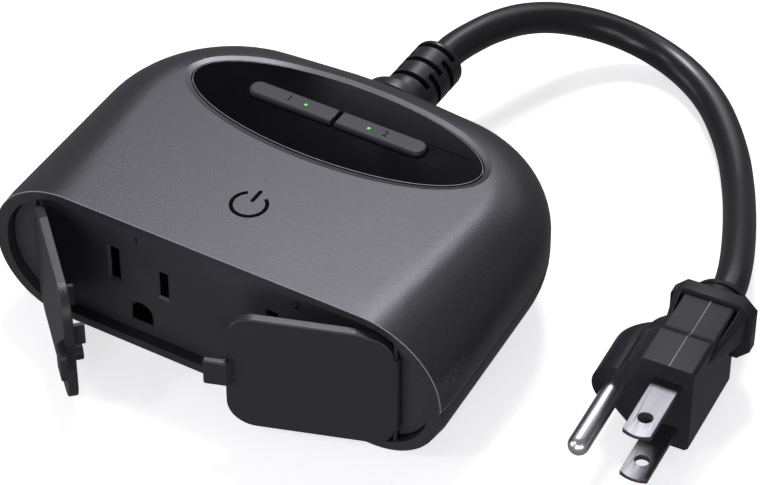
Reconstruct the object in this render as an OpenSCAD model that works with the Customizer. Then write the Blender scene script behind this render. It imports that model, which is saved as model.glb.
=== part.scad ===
// Two-outlet smart plug: a D-shaped housing that lies flat, two recessed outlets behind
// swinging covers, a control panel on top, and a short mains lead with a three-pin plug.
// X runs along the outlets, Y from the outlets to the lead, Z up from the surface it lies on.
// The origin is on the housing's flat base, midway between the front rim and the back.

/* [Housing] */
// Width across the front rim
housing_w = 114; // [112:1:118]
// Height of the housing
housing_h = 36.3; // [36:0.1:38]
// Depth from the front rim to the back
housing_d = 78; // [77:1:82]
// Wall thickness of both shells
wall = 2.4; // [2:0.1:2.6]
// Height of the joint between the two shells
parting_z = 17.6; // [17:0.1:18]

/* [Outlets] */
// Distance between the two outlets, centre to centre
outlet_pitch = 41; // [40:0.5:42]
// How far the outlet plate's face lies behind the rim
plate_recess = 2.3; // [2.2:0.1:2.6]
// Thickness of the outlet plate
plate_t = 4; // [3:0.5:4]
// Height of the lower end of both blade slots
slot_z = 15.6; // [15:0.1:16]
// Width of a blade slot
slot_w = 2.2; // [2:0.1:2.4]

/* [Covers] */
// Length of a cover from its hinge edge to its free edge
cover_l = 37.9; // [36:0.1:38]
// Thickness of a cover
cover_t = 2.2; // [2:0.1:2.2]
// Angle that the left cover stands open at rest
left_open = 45; // [20:1:90]
// Angle that the right cover stands open at rest
right_open = 19; // [15:1:90]

/* [Controls] */
// Length of the glossy oval panel
panel_l = 74; // [70:1:76]
// Width of the glossy oval panel
panel_w = 26.4; // [25:0.2:27]
// Length of the bar that the two buttons make together
button_bar_l = 45.6; // [44:0.2:48]
// Width of the button bar
button_bar_w = 4.8; // [4.4:0.1:5.4]
// How far the buttons stand above the panel
button_rise = 0.8; // [0.6:0.1:1]

/* [Lead] */
// Diameter of the lead
cord_d = 7.7; // [7:0.1:8]
// Height of the lead where it leaves the housing
cord_z = 20.5; // [20:0.5:21]
// Turn of the mains plug about the vertical
plug_turn = 4; // [0:1:8]

/* [Hidden] */

eps = 0.01;

// Housing form
end_a = 20;              // half-axis of the rim's upper corners along X
end_low_a = 17;          // half-axis of the rim's lower corners along X
end_low_b = 16.5;        // half-axis of the rim's lower corners along Z
flare = 0.5;             // how far the sides swell just behind the rim
flare_y = 4;
back_r = 34;             // radius of the back corners in plan
back_x = 22;             // place of the back corners' centres
back_y = 42.5;
back_top_r = 14.5;       // rounding of the back's upper edge
back_low_r = 18;         // rounding of the back's lower edge
back_flat = 12;          // length of the straight part of the back
rim_side = 3;            // width of the rim's face at the sides
rim_low = 2.2;           // at the bottom
rim_top = 2.3;           // at the top
mouth_d = 5.2;           // depth of the rim's collar behind its face
band_lean = 0.4;         // how far the foot of the rim's top band lies behind the rim

// Gasket between the shells
gasket_in = 0.8;
gasket_w = 0.9;
gasket_h = 1;

// Case screws
front_boss = [47, 13];
back_boss = [34.5, 61.5];
boss_r = 3.2;
boss_foot_r = 4.4;       // the wider foot that holds a screw's head
boss_foot_z = 7;
screw_r = 1.4;
screw_clear_r = 1.7;
head_r = 2.7;
head_h = 1.8;
head_clear = 0.3;
screw_seat_z = 4.4;      // height of the shoulder that a screw's head bears on
screw_l = 21.6;          // length of a case screw below its head
bottom_boss_z = 15.6;    // top of the lower bosses, which carry the outlet plate's ears

// Outlets
blade_dx = 6.35;         // blade slots lie this far each side of an outlet's centre
neutral_h = 8.9;
hot_h = 7.1;
bevel = 0.4;
ground_z = 8;
ground_r = 2.7;
ground_flat = 2.8;       // distance from the ground hole's centre down to its flat
carrier_y = plate_recess + plate_t + 0.2;
carrier_d = 18;
carrier_w = 72;
carrier_z = [3.4, 27.6];
pocket_w = 5;
leaf_t = 0.6;
leaf_gap = 1.5;
leaf_l = 12;
bus_t = 0.8;

// Covers
cover_y = -0.25;         // closed position of a cover's outer face
cover_z = [2.45, 33.75];
cover_corner_r = 6.5;
hinge_edge_x = 46.7;
knuckle_r = cover_t / 2;
hinge_x = hinge_edge_x - knuckle_r;
hinge_y = cover_y + knuckle_r;
hinge_end_z = [4.4, 30.7];   // a cover is cut down to these heights beside its knuckle
hinge_end_l = 1.7;
hinge_end_slope = 1;
knuckle_z = [4.6, 30.6];
pin_r = 0.5;
pin_clear = 0.06;
pin_z = [2.2, 33];
tab_z = [15.1, 21.7];
tab_reach = 4.5;
tab_joggle = 2.4;
tab_t = 1.7;
prong_t = 1.2;
prong_l = 3;
prong_h = 5.6;

// Controls
panel_y = 52.4;
panel_t = 1.5;
trim_w = 1.3;
panel_gap = 0.1;
bar_y = 53.2;
button_gap = 0.8;
button_clear = 0.25;
button_base_z = 32.2;
flange_t = 0.8;
flange_w = 0.7;
seal_t = 0.6;
seal_w = 3;
switch_x = 12;
switch_h = 2.6;
switch_board_size = [61, 14];
switch_board_y = 46;
switch_post_x = 28.3;
switch_post_r = 1.8;
switch_post_h = 6;
led_x = 8.2;
led_r = 0.5;
board_t = 1.6;
switch_board_z = 27;
plunger_r = 1.5;
plunger_clear = 0.1;

// Main board
main_z = 8;
board_outline = [[38, 28], [38, 54], [28, 65.8]];
post_at = [[-33, 32], [33, 32], [-18, 63], [18, 63]];
post_r = 2.4;
board_screw_r = 0.9;
part_z = main_z + board_t;   // height that the components stand on

// Strain relief, with y measured from the rim
relief_y = [77, 81, 100];    // outer flange's two faces, then the sleeve's end
relief_r = 6.35;
relief_flange_r = 9;
neck_r = 5.2;
neck_flange_r = 7;
neck_flange_y = [70.8, 72.8];
slot_depth = 1.5;
slot_gap = 1.15;
slot_pitch = 6;
first_slot_y = 85.7;

// Clamp that holds the lead's sheath
clamp_at = [9, 68.4];
clamp_size = [22.4, 4, 11.2];
clamp_z = 13.6;
clamp_post_r = 2.2;

// Mains plug, whose own frame has X out along the blades, Y across and Z up
plug_face = [94.3, 31.8, 11.7];
body_h = 23;
body_right = 5.8;
body_left = 6;
lobe_y = -11.4;
lobe_r = 5.9;
lobe_l = 12.6;
block_l = 10.4;          // length of the full-height block behind the face
body_l = 24.2;
recess = 1.2;            // how far the body steps down behind that block
collar_w = 19.2;
collar_h = 15.6;
collar_t = 3.4;
collar_cut = 2.8;
entry_z = 3.6;           // height of the collar and the lead above the plug's axis
entry_r = 7.3;
entry_l = 4.3;
blade = [17.8, 6.35, 1.52];
blade_sep = 12.7;
blade_hole_r = 1.6;
blade_hole_x = 12.2;
ground_pin_r = 2.4;
ground_pin_l = 21.4;
ground_seat_r = 1.8;
ground_offset = 11.9;
seat = 6;                // length of each pin inside the plug's body

// Centreline of the lead, from the strain relief to the plug, y measured from the rim
cord_route = [
    [0, 100, 20.5], [0.5, 106, 20.5], [2, 112, 20.4], [4.5, 119, 20], [8, 127, 18.4],
    [13, 135, 15.4], [20, 142, 11.4], [28, 146, 7.9], [37, 146.5, 5.4], [46, 143.5, 4.2],
    [54.5, 137.5, 3.9], [62, 129.4, 4], [68.6, 120.2, 4.6], [74.3, 110.2, 6],
    [79.4, 99.9, 8.3], [84.1, 89.3, 11], [88.2, 79, 13.3], [91, 70.2, 14.9],
    [92.07, 63.62, 15.3]
];
cord_sides = 10;
steps_per_point = 3;

// Sheath and wires inside the housing
sheath_r = 3.4;
sheath_y = [65.7, 70.8];
wire_r = 0.9;
wire_sides = 8;
wire_pitch = 2;
terminal_y = 62.5;
terminal_pitch = 4.5;
terminal_r = 1.7;

// ---- helpers ----

function unit(v) = v / norm(v);

function arc(cx, cy, a, b, from, to, n) =
    [for (i = [0:n]) let (t = from + (to - from) * i / n) [cx + a * cos(t), cy + b * sin(t)]];

function oval(a, b, n) = [for (i = [0:n - 1]) [a * cos(360 * i / n), b * sin(360 * i / n)]];

// Catmull-Rom curve through the points p
function curve_at(p, i, t) =
    let (
        a = p[max(i - 1, 0)], b = p[i], c = p[i + 1], d = p[min(i + 2, len(p) - 1)]
    )
    0.5 * (2 * b + (c - a) * t + (2 * a - 5 * b + 4 * c - d) * t * t
        + (3 * b - a - 3 * c + d) * t * t * t);

function smooth_route(p, n) = concat(
    [for (i = [0:len(p) - 2]) for (k = [0:n - 1]) curve_at(p, i, k / n)],
    [p[len(p) - 1]]
);

function heading(p, i, first, last) =
    i == 0 ? first : i == len(p) - 1 ? last : unit(p[i + 1] - p[i - 1]);

// A round tube along p, whose end faces are square to the headings first and last
module tube(p, r, sides, first, last) {
    rings = [
        for (i = [0:len(p) - 1])
            let (t = heading(p, i, first, last), s = unit(cross(t, [0, 0, 1])), u = cross(s, t))
            for (k = [0:sides - 1])
                p[i] + r * (s * cos(360 * k / sides) + u * sin(360 * k / sides))
    ];
    last_ring = (len(p) - 1) * sides;
    walls = [
        for (i = [0:len(p) - 2]) for (k = [0:sides - 1])
            let (n = (k + 1) % sides)
            [i * sides + k, (i + 1) * sides + k, (i + 1) * sides + n, i * sides + n]
    ];
    near_end = [for (k = [0:sides - 1]) k];
    far_end = [for (k = [sides - 1:-1:0]) last_ring + k];
    polyhedron(points = rings, faces = concat(walls, [near_end, far_end]), convexity = 4);
}

// Shapes are drawn with y measured from the front rim, then moved to the origin's frame
module from_rim() {
    translate([0, -housing_d / 2, 0]) children();
}

module both_sides() {
    children();
    mirror([1, 0, 0]) children();
}

module at_points(points) {
    for (p = points) translate([p[0], p[1], 0]) children();
}

boss_points = [
    front_boss, [-front_boss[0], front_boss[1]], back_boss, [-back_boss[0], back_boss[1]]
];
outlet_centres = [-outlet_pitch / 2, outlet_pitch / 2];

// Front outline of the rim, drawn inwards by the given margins
module rim_outline(side, low, top, swell = 0) {
    top_b = housing_h / 2;
    right = concat(
        arc(housing_w / 2 - end_low_a, end_low_b, end_low_a - side + swell, end_low_b - low, -90, 0, 8),
        arc(housing_w / 2 - end_a, top_b, end_a - side + swell, top_b - top, 0, 90, 10)
    );
    left = [for (i = [len(right) - 1:-1:0]) [-right[i][0], right[i][1]]];
    polygon(concat(right, left));
}

module rim_slab(y, thickness, side, low, top, swell = 0) {
    translate([0, y + thickness, 0]) rotate([90, 0, 0])
        linear_extrude(thickness) rim_outline(side, low, top, swell);
}

// A disc with rounded upper and lower edges, drawn inwards by inset
module rounded_disc(inset) {
    r = back_r - inset;
    top = housing_h - inset;
    top_r = back_top_r - inset;
    low_r = back_low_r - inset;
    profile = concat(
        [[0, inset]],
        arc(r - low_r, inset + low_r, low_r, low_r, -90, 0, 5),
        arc(r - top_r, top - top_r, top_r, top_r, 0, 90, 5),
        [[0, top]]
    );
    rotate_extrude($fn = 40) polygon(profile);
}

// The whole housing as one convex form
module housing_form(inset) {
    hull() {
        rim_slab(0, eps, inset, inset, inset);
        rim_slab(flare_y, eps, inset, inset, inset, flare);
        both_sides() translate([back_x, back_y, 0]) rounded_disc(inset);
        translate([0, housing_d - back_top_r, housing_h - back_top_r]) rotate([0, 90, 0])
            cylinder(r = back_top_r - inset, h = back_flat, center = true, $fn = 40);
    }
}

module housing_cavity() {
    intersection() {
        housing_form(wall);
        translate([-housing_w, mouth_d, 0]) cube([2 * housing_w, housing_d, housing_h]);
    }
    rim_slab(-1, mouth_d + 1 + eps, rim_side, rim_low, rim_top);
}

module gasket_ring() {
    intersection() {
        difference() {
            housing_form(gasket_in);
            housing_form(gasket_in + gasket_w);
        }
        translate([-housing_w, mouth_d, parting_z - gasket_h / 2])
            cube([2 * housing_w, housing_d, gasket_h]);
    }
}

module height_band(low, high) {
    translate([-housing_w, -housing_d, low])
        cube([2 * housing_w, 3 * housing_d, high - low]);
}

module hinge_pin_holes() {
    both_sides() translate([hinge_x, hinge_y, pin_z[0]])
        cylinder(r = pin_r, h = pin_z[1] - pin_z[0], $fn = 32);
}

module relief_cylinder(r, from, to) {
    translate([0, to, cord_z]) rotate([90, 0, 0]) cylinder(r = r, h = to - from, $fn = 48);
}

// The hole that the strain relief's neck fills, and the flat that its flange bears on
module relief_seat() {
    relief_cylinder(neck_r, neck_flange_y[1], relief_y[0] + 1);
    relief_cylinder(relief_flange_r + 0.1, relief_y[0], relief_y[1]);
}

// ---- housing ----

// Bosses and posts, cut off inside the shell's skin
module top_posts() {
    intersection() {
        union() {
            at_points(boss_points) translate([0, 0, parting_z])
                cylinder(r = boss_r, h = housing_h - parting_z, $fn = 32);
            both_sides() translate([switch_post_x, panel_y, switch_board_z + board_t])
                cylinder(r = switch_post_r, h = switch_post_h, $fn = 32);
        }
        housing_form(wall / 2);
    }
}

// The rim's top band leans back between the covers' hinges
module rim_band_cut() {
    translate([-hinge_edge_x, 0, 0]) rotate([90, 0, 90]) linear_extrude(2 * hinge_edge_x)
        polygon([
            [-1, housing_h + 1], [0, housing_h], [band_lean, housing_h - rim_top - 0.2],
            [-1, housing_h - rim_top - 1]
        ]);
}

module top_shell() {
    color([0.3, 0.3, 0.32]) from_rim() difference() {
        union() {
            difference() {
                intersection() {
                    housing_form(0);
                    height_band(parting_z, housing_h + 1);
                }
                housing_cavity();
                gasket_ring();
            }
            top_posts();
        }
        at_points(boss_points) translate([0, 0, parting_z - 1])
            cylinder(r = screw_r, h = screw_seat_z + screw_l - parting_z + 2, $fn = 32);
        both_sides() translate([switch_post_x, panel_y, switch_board_z])
            cylinder(r = board_screw_r, h = switch_post_h, $fn = 32);
        translate([0, panel_y, housing_h - panel_t]) linear_extrude(panel_t + 1)
            polygon(oval(panel_l / 2 + trim_w, panel_w / 2 + trim_w, 64));
        button_window(button_clear, 30, 12);
        hinge_pin_holes();
        relief_seat();
        rim_band_cut();
    }
}

module bottom_posts() {
    intersection() {
        union() {
            at_points(boss_points) {
                cylinder(r = boss_r, h = bottom_boss_z, $fn = 32);
                cylinder(r = boss_foot_r, h = boss_foot_z, $fn = 32);
            }
            at_points(post_at) cylinder(r = post_r, h = main_z, $fn = 32);
            both_sides() translate([clamp_at[0], clamp_at[1], 0])
                cylinder(r = clamp_post_r, h = clamp_z, $fn = 32);
        }
        housing_form(wall / 2);
    }
}

module bottom_shell() {
    color([0.27, 0.27, 0.29]) from_rim() difference() {
        union() {
            difference() {
                intersection() {
                    housing_form(0);
                    height_band(0, parting_z);
                }
                housing_cavity();
                gasket_ring();
            }
            bottom_posts();
        }
        at_points(boss_points) translate([0, 0, -1])
            cylinder(r = screw_clear_r, h = bottom_boss_z + 2, $fn = 32);
        at_points(boss_points) translate([0, 0, -1])
            cylinder(r = head_r + head_clear, h = screw_seat_z + 1, $fn = 32);
        at_points(post_at) translate([0, 0, main_z - 4])
            cylinder(r = board_screw_r, h = 5, $fn = 32);
        both_sides() translate([clamp_at[0], clamp_at[1], clamp_z - 7])
            cylinder(r = board_screw_r, h = 8, $fn = 32);
        hinge_pin_holes();
        relief_seat();
    }
}

module shell_gasket() {
    color([0.12, 0.12, 0.12]) from_rim() difference() {
        gasket_ring();
        relief_seat();
    }
}

module pan_screw(r, length, head, head_height) {
    difference() {
        union() {
            cylinder(r = head, h = head_height, $fn = 32);
            translate([0, 0, head_height - eps]) cylinder(r = r, h = length, $fn = 24);
        }
        translate([0, 0, -1]) cylinder(r = head * 0.45, h = 1 + head_height * 0.6, $fn = 6);
    }
}

module case_screws() {
    color("silver") from_rim() at_points(boss_points)
        translate([0, 0, screw_seat_z - head_h]) pan_screw(screw_r, screw_l, head_r, head_h);
}

// ---- outlets ----

module ground_hole(grow) {
    circle(r = ground_r + grow, $fn = 32);
    translate([-ground_r - grow, -ground_flat - grow])
        square([2 * (ground_r + grow), ground_flat + grow]);
}

module outlet_holes(grow) {
    translate([-blade_dx - slot_w / 2 - grow, slot_z - grow])
        square([slot_w + 2 * grow, neutral_h + 2 * grow]);
    translate([blade_dx - slot_w / 2 - grow, slot_z - grow])
        square([slot_w + 2 * grow, hot_h + 2 * grow]);
    translate([0, ground_z]) ground_hole(grow);
}

module outlet_plate() {
    color([0.22, 0.22, 0.24]) from_rim() difference() {
        union() {
            rim_slab(plate_recess, plate_t, rim_side + 0.35, rim_low + 0.35, rim_top + 0.35);
            both_sides() translate([front_boss[0] - 3.2, plate_recess + 1, bottom_boss_z])
                cube([6.4, front_boss[1] + 3.2 - plate_recess - 1, parting_z - bottom_boss_z]);
        }
        both_sides() translate([front_boss[0], front_boss[1], bottom_boss_z - 1])
            cylinder(r = screw_clear_r, h = 4, $fn = 32);
        for (x = outlet_centres) translate([x, 0, 0]) rotate([90, 0, 0]) {
            translate([0, 0, -plate_recess - plate_t - 1])
                linear_extrude(plate_t + 2) outlet_holes(0);
            translate([0, 0, -plate_recess - bevel]) linear_extrude(1) outlet_holes(bevel);
        }
    }
}

// Room for the contacts of one outlet
module carrier_pockets() {
    for (side = [-1, 1])
        translate([side * blade_dx - pocket_w / 2, carrier_y - 1, slot_z - 0.6])
            cube([pocket_w, carrier_d + 2, neutral_h + 1.2]);
    translate([0, carrier_y - 1, ground_z]) rotate([-90, 0, 0])
        cylinder(r = 4, h = carrier_d + 2, $fn = 32);
}

module contact_carrier() {
    color([0.75, 0.75, 0.7]) from_rim() difference() {
        translate([-carrier_w / 2, carrier_y, carrier_z[0]])
            cube([carrier_w, carrier_d, carrier_z[1] - carrier_z[0]]);
        for (x = outlet_centres) translate([x, 0, 0]) carrier_pockets();
    }
}

bus_y = carrier_y + carrier_d + 0.2;

// A pair of spring leaves that grip a blade, joined by the strip behind them
module blade_clip(height) {
    for (side = [-1, 1])
        translate([side * leaf_gap - leaf_t / 2, bus_y - leaf_l, slot_z + 0.4])
            cube([leaf_t, leaf_l + eps, height - 0.8]);
}

module bus_strip(x_from, x_to, z, height) {
    translate([x_from, bus_y, z]) cube([x_to - x_from, bus_t, height]);
}

module hot_contact(x) {
    color([0.8, 0.65, 0.3]) from_rim() {
        translate([x + blade_dx, 0, 0]) blade_clip(hot_h);
        bus_strip(x + blade_dx - 2.2, x + blade_dx + 2.2, slot_z + 0.4, hot_h - 0.8);
    }
}

module neutral_bus() {
    color([0.85, 0.85, 0.8]) from_rim() {
        for (x = outlet_centres) {
            translate([x - blade_dx, 0, 0]) blade_clip(neutral_h);
            bus_strip(x - blade_dx - 2.2, x - blade_dx + 2.2, slot_z + 0.4, 12);
        }
        bus_strip(outlet_centres[0] - blade_dx, outlet_centres[1] - blade_dx, 25, 3);
    }
}

module ground_bus() {
    color([0.8, 0.65, 0.3]) from_rim() {
        for (x = outlet_centres) translate([x, 0, ground_z]) difference() {
            translate([0, bus_y + eps, 0]) rotate([90, 0, 0])
                cylinder(r = 3.6, h = leaf_l, $fn = 32);
            translate([0, bus_y + 1, 0]) rotate([90, 0, 0])
                cylinder(r = 3, h = leaf_l + 2, $fn = 32);
            translate([-1, bus_y - leaf_l - 1, 0]) cube([2, leaf_l + 3, 5]);
        }
        for (x = outlet_centres) bus_strip(x - 3, x + 3, 4, 2.5);
        bus_strip(outlet_centres[0], outlet_centres[1], 4, 1.4);
    }
}

// ---- covers ----

// Outline of a closed right cover, seen from the front: x is the housing's own x
module cover_outline() {
    free_x = hinge_edge_x - cover_l;
    r = cover_corner_r;
    intersection() {
        rim_outline(rim_side + 0.3, rim_low + 0.25, rim_top + 0.25);
        polygon(concat(
            [[hinge_x - hinge_end_l - hinge_end_slope, cover_z[0]]],
            [[hinge_x - hinge_end_l, hinge_end_z[0]], [hinge_x, hinge_end_z[0]]],
            [[hinge_x, hinge_end_z[1]], [hinge_x - hinge_end_l, hinge_end_z[1]]],
            [[hinge_x - hinge_end_l - hinge_end_slope, cover_z[1]]],
            arc(free_x + r, cover_z[1] - r, r, r, 90, 180, 8),
            arc(free_x + r, cover_z[0] + r, r, r, 180, 270, 8)
        ));
    }
}

// The pull tab steps out from the cover's face, then runs past the free edge
module pull_tab() {
    free_x = hinge_edge_x - cover_l;
    tab_y = cover_y - tab_joggle;
    translate([0, 0, tab_z[0]]) linear_extrude(tab_z[1] - tab_z[0]) polygon([
        [free_x + 4.4, cover_y + eps], [free_x + 2, tab_y + 0.5], [free_x + 1, tab_y],
        [free_x - tab_reach, tab_y], [free_x - tab_reach, tab_y + tab_t],
        [free_x - 0.6, tab_y + tab_t], [free_x, cover_y + 0.6], [free_x + 4.4, cover_y + 0.6]
    ]);
}

module closed_cover() {
    difference() {
        union() {
            translate([0, cover_y + cover_t, 0]) rotate([90, 0, 0])
                linear_extrude(cover_t) cover_outline();
            translate([hinge_x, hinge_y, knuckle_z[0]])
                cylinder(r = knuckle_r, h = knuckle_z[1] - knuckle_z[0], $fn = 32);
            pull_tab();
        }
        translate([hinge_x, hinge_y, -1])
            cylinder(r = pin_r + pin_clear, h = housing_h + 2, $fn = 32);
    }
}

// The rubber pad that plugs the holes of a closed outlet
module closed_cover_plug() {
    face_y = cover_y + cover_t;
    translate([outlet_centres[1], face_y, 0]) {
        for (side = [-1, 1])
            translate([side * blade_dx - prong_t / 2, 0, slot_z + 0.8])
                cube([prong_t, prong_l, prong_h]);
        translate([0, prong_l, ground_z]) rotate([90, 0, 0])
            cylinder(r = 1.9, h = prong_l, $fn = 32);
    }
}

// Swing the right-hand parts open about the hinge pin
module swung(angle) {
    from_rim() translate([hinge_x, hinge_y, 0]) rotate([0, 0, angle])
        translate([-hinge_x, -hinge_y, 0]) children();
}

module cover_right() {
    color([0.2, 0.2, 0.21]) swung(right_open) closed_cover();
}

module cover_left() {
    color([0.2, 0.2, 0.21]) mirror([1, 0, 0]) swung(left_open) closed_cover();
}

module cover_plug_right() {
    color([0.15, 0.15, 0.16]) swung(right_open) closed_cover_plug();
}

module cover_plug_left() {
    color([0.15, 0.15, 0.16]) mirror([1, 0, 0]) swung(left_open) closed_cover_plug();
}

module hinge_pin_right() {
    color("silver") from_rim() translate([hinge_x, hinge_y, pin_z[0]])
        cylinder(r = pin_r, h = pin_z[1] - pin_z[0], $fn = 32);
}

module hinge_pin_left() {
    mirror([1, 0, 0]) hinge_pin_right();
}

// ---- controls ----

module stadium(length, width) {
    for (side = [-1, 1]) translate([side * (length - width) / 2, 0]) circle(d = width, $fn = 32);
    square([length - width, width], center = true);
}

module button_window(grow, z, height) {
    translate([0, bar_y, z]) linear_extrude(height)
        stadium(button_bar_l + 2 * grow, button_bar_w + 2 * grow);
}

module panel_trim() {
    color([0.16, 0.16, 0.17]) from_rim() translate([0, panel_y, housing_h - panel_t])
        linear_extrude(panel_t) difference() {
            polygon(oval(panel_l / 2 + trim_w - panel_gap, panel_w / 2 + trim_w - panel_gap, 64));
            polygon(oval(panel_l / 2 + panel_gap, panel_w / 2 + panel_gap, 64));
        }
}

module control_panel() {
    color([0.03, 0.03, 0.03]) from_rim() difference() {
        translate([0, panel_y, housing_h - panel_t]) linear_extrude(panel_t)
            polygon(oval(panel_l / 2, panel_w / 2, 64));
        button_window(button_clear, 30, 12);
    }
}

module button_half(side, grow) {
    intersection() {
        stadium(button_bar_l + 2 * grow, button_bar_w + 2 * grow);
        translate([side > 0 ? button_gap / 2 : -button_bar_l, -button_bar_w])
            square([button_bar_l - button_gap / 2, 2 * button_bar_w]);
    }
}

module button_cap(side) {
    top_z = housing_h + button_rise;
    color([0.33, 0.33, 0.35]) from_rim() translate([0, bar_y, 0]) difference() {
        union() {
            translate([0, 0, button_base_z])
                linear_extrude(top_z - button_base_z) button_half(side, 0);
            translate([0, 0, button_base_z])
                linear_extrude(flange_t) button_half(side, flange_w);
        }
        translate([side * led_x, 0, button_base_z - 1])
            cylinder(r = led_r, h = 8, $fn = 24);
    }
}

module button_1() {
    button_cap(-1);
}

module button_2() {
    button_cap(1);
}

module indicator(side) {
    color([0.4, 1, 0.5]) from_rim() translate([side * led_x, bar_y, button_base_z])
        cylinder(r = led_r, h = housing_h + button_rise - button_base_z, $fn = 24);
}

module plunger(side) {
    color([0.8, 0.8, 0.8]) from_rim() translate([side * switch_x, bar_y, 30])
        cylinder(r = plunger_r, h = button_base_z - 30, $fn = 24);
}

module button_seal() {
    color([0.1, 0.1, 0.1]) from_rim() difference() {
        button_window(seal_w, housing_h - wall - seal_t, seal_t);
        button_window(button_clear, 30, 12);
    }
}

module switch_board() {
    color([0.1, 0.35, 0.2]) from_rim() difference() {
        translate([-switch_board_size[0] / 2, switch_board_y, switch_board_z])
            cube([switch_board_size[0], switch_board_size[1], board_t]);
        both_sides() translate([switch_post_x, panel_y, switch_board_z - 1])
            cylinder(r = board_screw_r + 0.2, h = board_t + 2, $fn = 32);
    }
}

module tact_switches() {
    color([0.15, 0.15, 0.15]) from_rim() both_sides() {
        translate([0, 0, switch_board_z + board_t]) difference() {
            translate([switch_x - 3, bar_y - 3, 0]) cube([6, 6, switch_h]);
            translate([switch_x, bar_y, 0.5])
                cylinder(r = plunger_r + plunger_clear, h = 3, $fn = 24);
        }
        translate([led_x - 0.8, bar_y - 0.8, switch_board_z + board_t]) cube([0.6, 1.6, 0.9]);
    }
}

module switch_board_screws() {
    color("silver") from_rim() both_sides()
        translate([switch_post_x, panel_y, switch_board_z - 1.2])
        pan_screw(board_screw_r, 6, 1.8, 1.2);
}

// ---- electronics ----

module main_board() {
    left = [for (i = [len(board_outline) - 1:-1:0]) [-board_outline[i][0], board_outline[i][1]]];
    color([0.1, 0.35, 0.2]) from_rim() difference() {
        translate([0, 0, main_z]) linear_extrude(board_t) polygon(concat(board_outline, left));
        at_points(boss_points) cylinder(r = boss_r + 0.5, h = 20, $fn = 32);
        at_points(post_at) cylinder(r = board_screw_r + 0.2, h = 20, $fn = 32);
    }
}

module board_screws() {
    color("silver") from_rim() at_points(post_at)
        translate([0, 0, part_z + 1.2]) mirror([0, 0, 1]) pan_screw(board_screw_r, 5, 1.9, 1.2);
}

module relay(side) {
    color([0.1, 0.3, 0.6]) from_rim()
        translate([side * 23 - 7.5, 36, part_z]) cube([15, 19, 15.5]);
}

module transformer() {
    from_rim() {
        color([0.9, 0.8, 0.3]) translate([-8, 32, part_z]) cube([16, 14, 12]);
        color([0.3, 0.3, 0.3]) translate([-5, 29.5, part_z]) cube([10, 19, 8]);
    }
}

module wifi_module() {
    from_rim() {
        color([0.1, 0.2, 0.4]) translate([-14, 50, part_z]) cube([16, 9, 0.8]);
        color([0.8, 0.8, 0.8]) translate([-10, 50.8, part_z + 0.8]) cube([11.4, 7.4, 2]);
    }
}

module capacitors() {
    color([0.2, 0.25, 0.5]) from_rim() {
        translate([8, 55, part_z]) cylinder(r = 4, h = 12, $fn = 32);
        translate([13.5, 55.5, part_z]) cube([7, 5, 9]);
    }
}

module fuse() {
    color([0.9, 0.9, 0.85]) from_rim() translate([26, 64, part_z + 2.5])
        rotate([90, 0, 0]) cylinder(r = 2.4, h = 7, $fn = 32);
}

module varistor() {
    color([0.1, 0.3, 0.7]) from_rim() translate([-22, 60, part_z + 5])
        rotate([90, 0, 0]) cylinder(r = 4.6, h = 3, $fn = 32);
}

module terminal_block() {
    color([0.2, 0.55, 0.3]) from_rim() difference() {
        translate([-7.5, terminal_y - 3, part_z]) cube([15, 6, 9]);
        for (place = [-1:1]) translate([place * terminal_pitch, terminal_y, part_z + 4])
            cylinder(r = terminal_r, h = 9, $fn = 24);
    }
}

// ---- lead ----

// A groove cut in a quarter-turned pair of arcs, leaving the sleeve's inner wall whole
module relief_slot(y, turn) {
    translate([0, y, cord_z]) rotate([90, turn, 0]) difference() {
        cylinder(r = relief_r + 1, h = slot_gap, center = true, $fn = 48);
        cylinder(r = relief_r - slot_depth, h = slot_gap + 1, center = true, $fn = 48);
        for (a = [0, 180]) rotate([0, 0, a]) translate([relief_r - 1.2, -10, -slot_gap])
            cube([10, 20, 2 * slot_gap]);
    }
}

module strain_relief() {
    color([0.13, 0.13, 0.14]) from_rim() difference() {
        union() {
            relief_cylinder(relief_flange_r, relief_y[0], relief_y[1]);
            relief_cylinder(relief_r, relief_y[0], relief_y[2]);
            relief_cylinder(neck_r, neck_flange_y[1] - 1, relief_y[0] + 1);
            relief_cylinder(neck_flange_r, neck_flange_y[0], neck_flange_y[1]);
        }
        for (i = [0:2]) relief_slot(first_slot_y + i * slot_pitch, 0);
        for (i = [0:1]) relief_slot(first_slot_y + (i + 0.5) * slot_pitch, 90);
    }
}

module lead_sheath() {
    color([0.1, 0.1, 0.11]) from_rim() relief_cylinder(sheath_r, sheath_y[0], sheath_y[1]);
}

// One insulated wire, from the sheath's cut end down into the terminal block
module lead_wire(place, paint) {
    x = place * wire_pitch;
    route = [
        [x, sheath_y[0], cord_z], [x * 1.3, sheath_y[0] - 1.5, cord_z - 0.4],
        [x * 2, terminal_y + 0.6, 19], [place * terminal_pitch, terminal_y, 17]
    ];
    color(paint) from_rim()
        tube(
            smooth_route(route, steps_per_point), wire_r, wire_sides,
            [0, -1, 0], unit([0, -0.3, -1])
        );
}

module cord_clamp() {
    color([0.7, 0.7, 0.65]) from_rim() difference() {
        translate([-clamp_size[0] / 2, clamp_at[1] - clamp_size[1] / 2, clamp_z]) cube(clamp_size);
        relief_cylinder(sheath_r, sheath_y[0], sheath_y[1]);
        both_sides() translate([clamp_at[0], clamp_at[1], clamp_z - 1])
            cylinder(r = board_screw_r + 0.2, h = clamp_size[2] + 2, $fn = 32);
    }
}

module clamp_screws() {
    color("silver") from_rim() both_sides()
        translate([clamp_at[0], clamp_at[1], clamp_z + clamp_size[2] + 1.4]) mirror([0, 0, 1])
        pan_screw(board_screw_r, clamp_size[2] + 6, 1.9, 1.4);
}

plug_heading = [-sin(plug_turn), cos(plug_turn), 0];

module power_cord() {
    color([0.1, 0.1, 0.11]) from_rim()
        tube(
            smooth_route(cord_route, steps_per_point), cord_d / 2, cord_sides,
            [0, 1, 0], -plug_heading
        );
}

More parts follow.
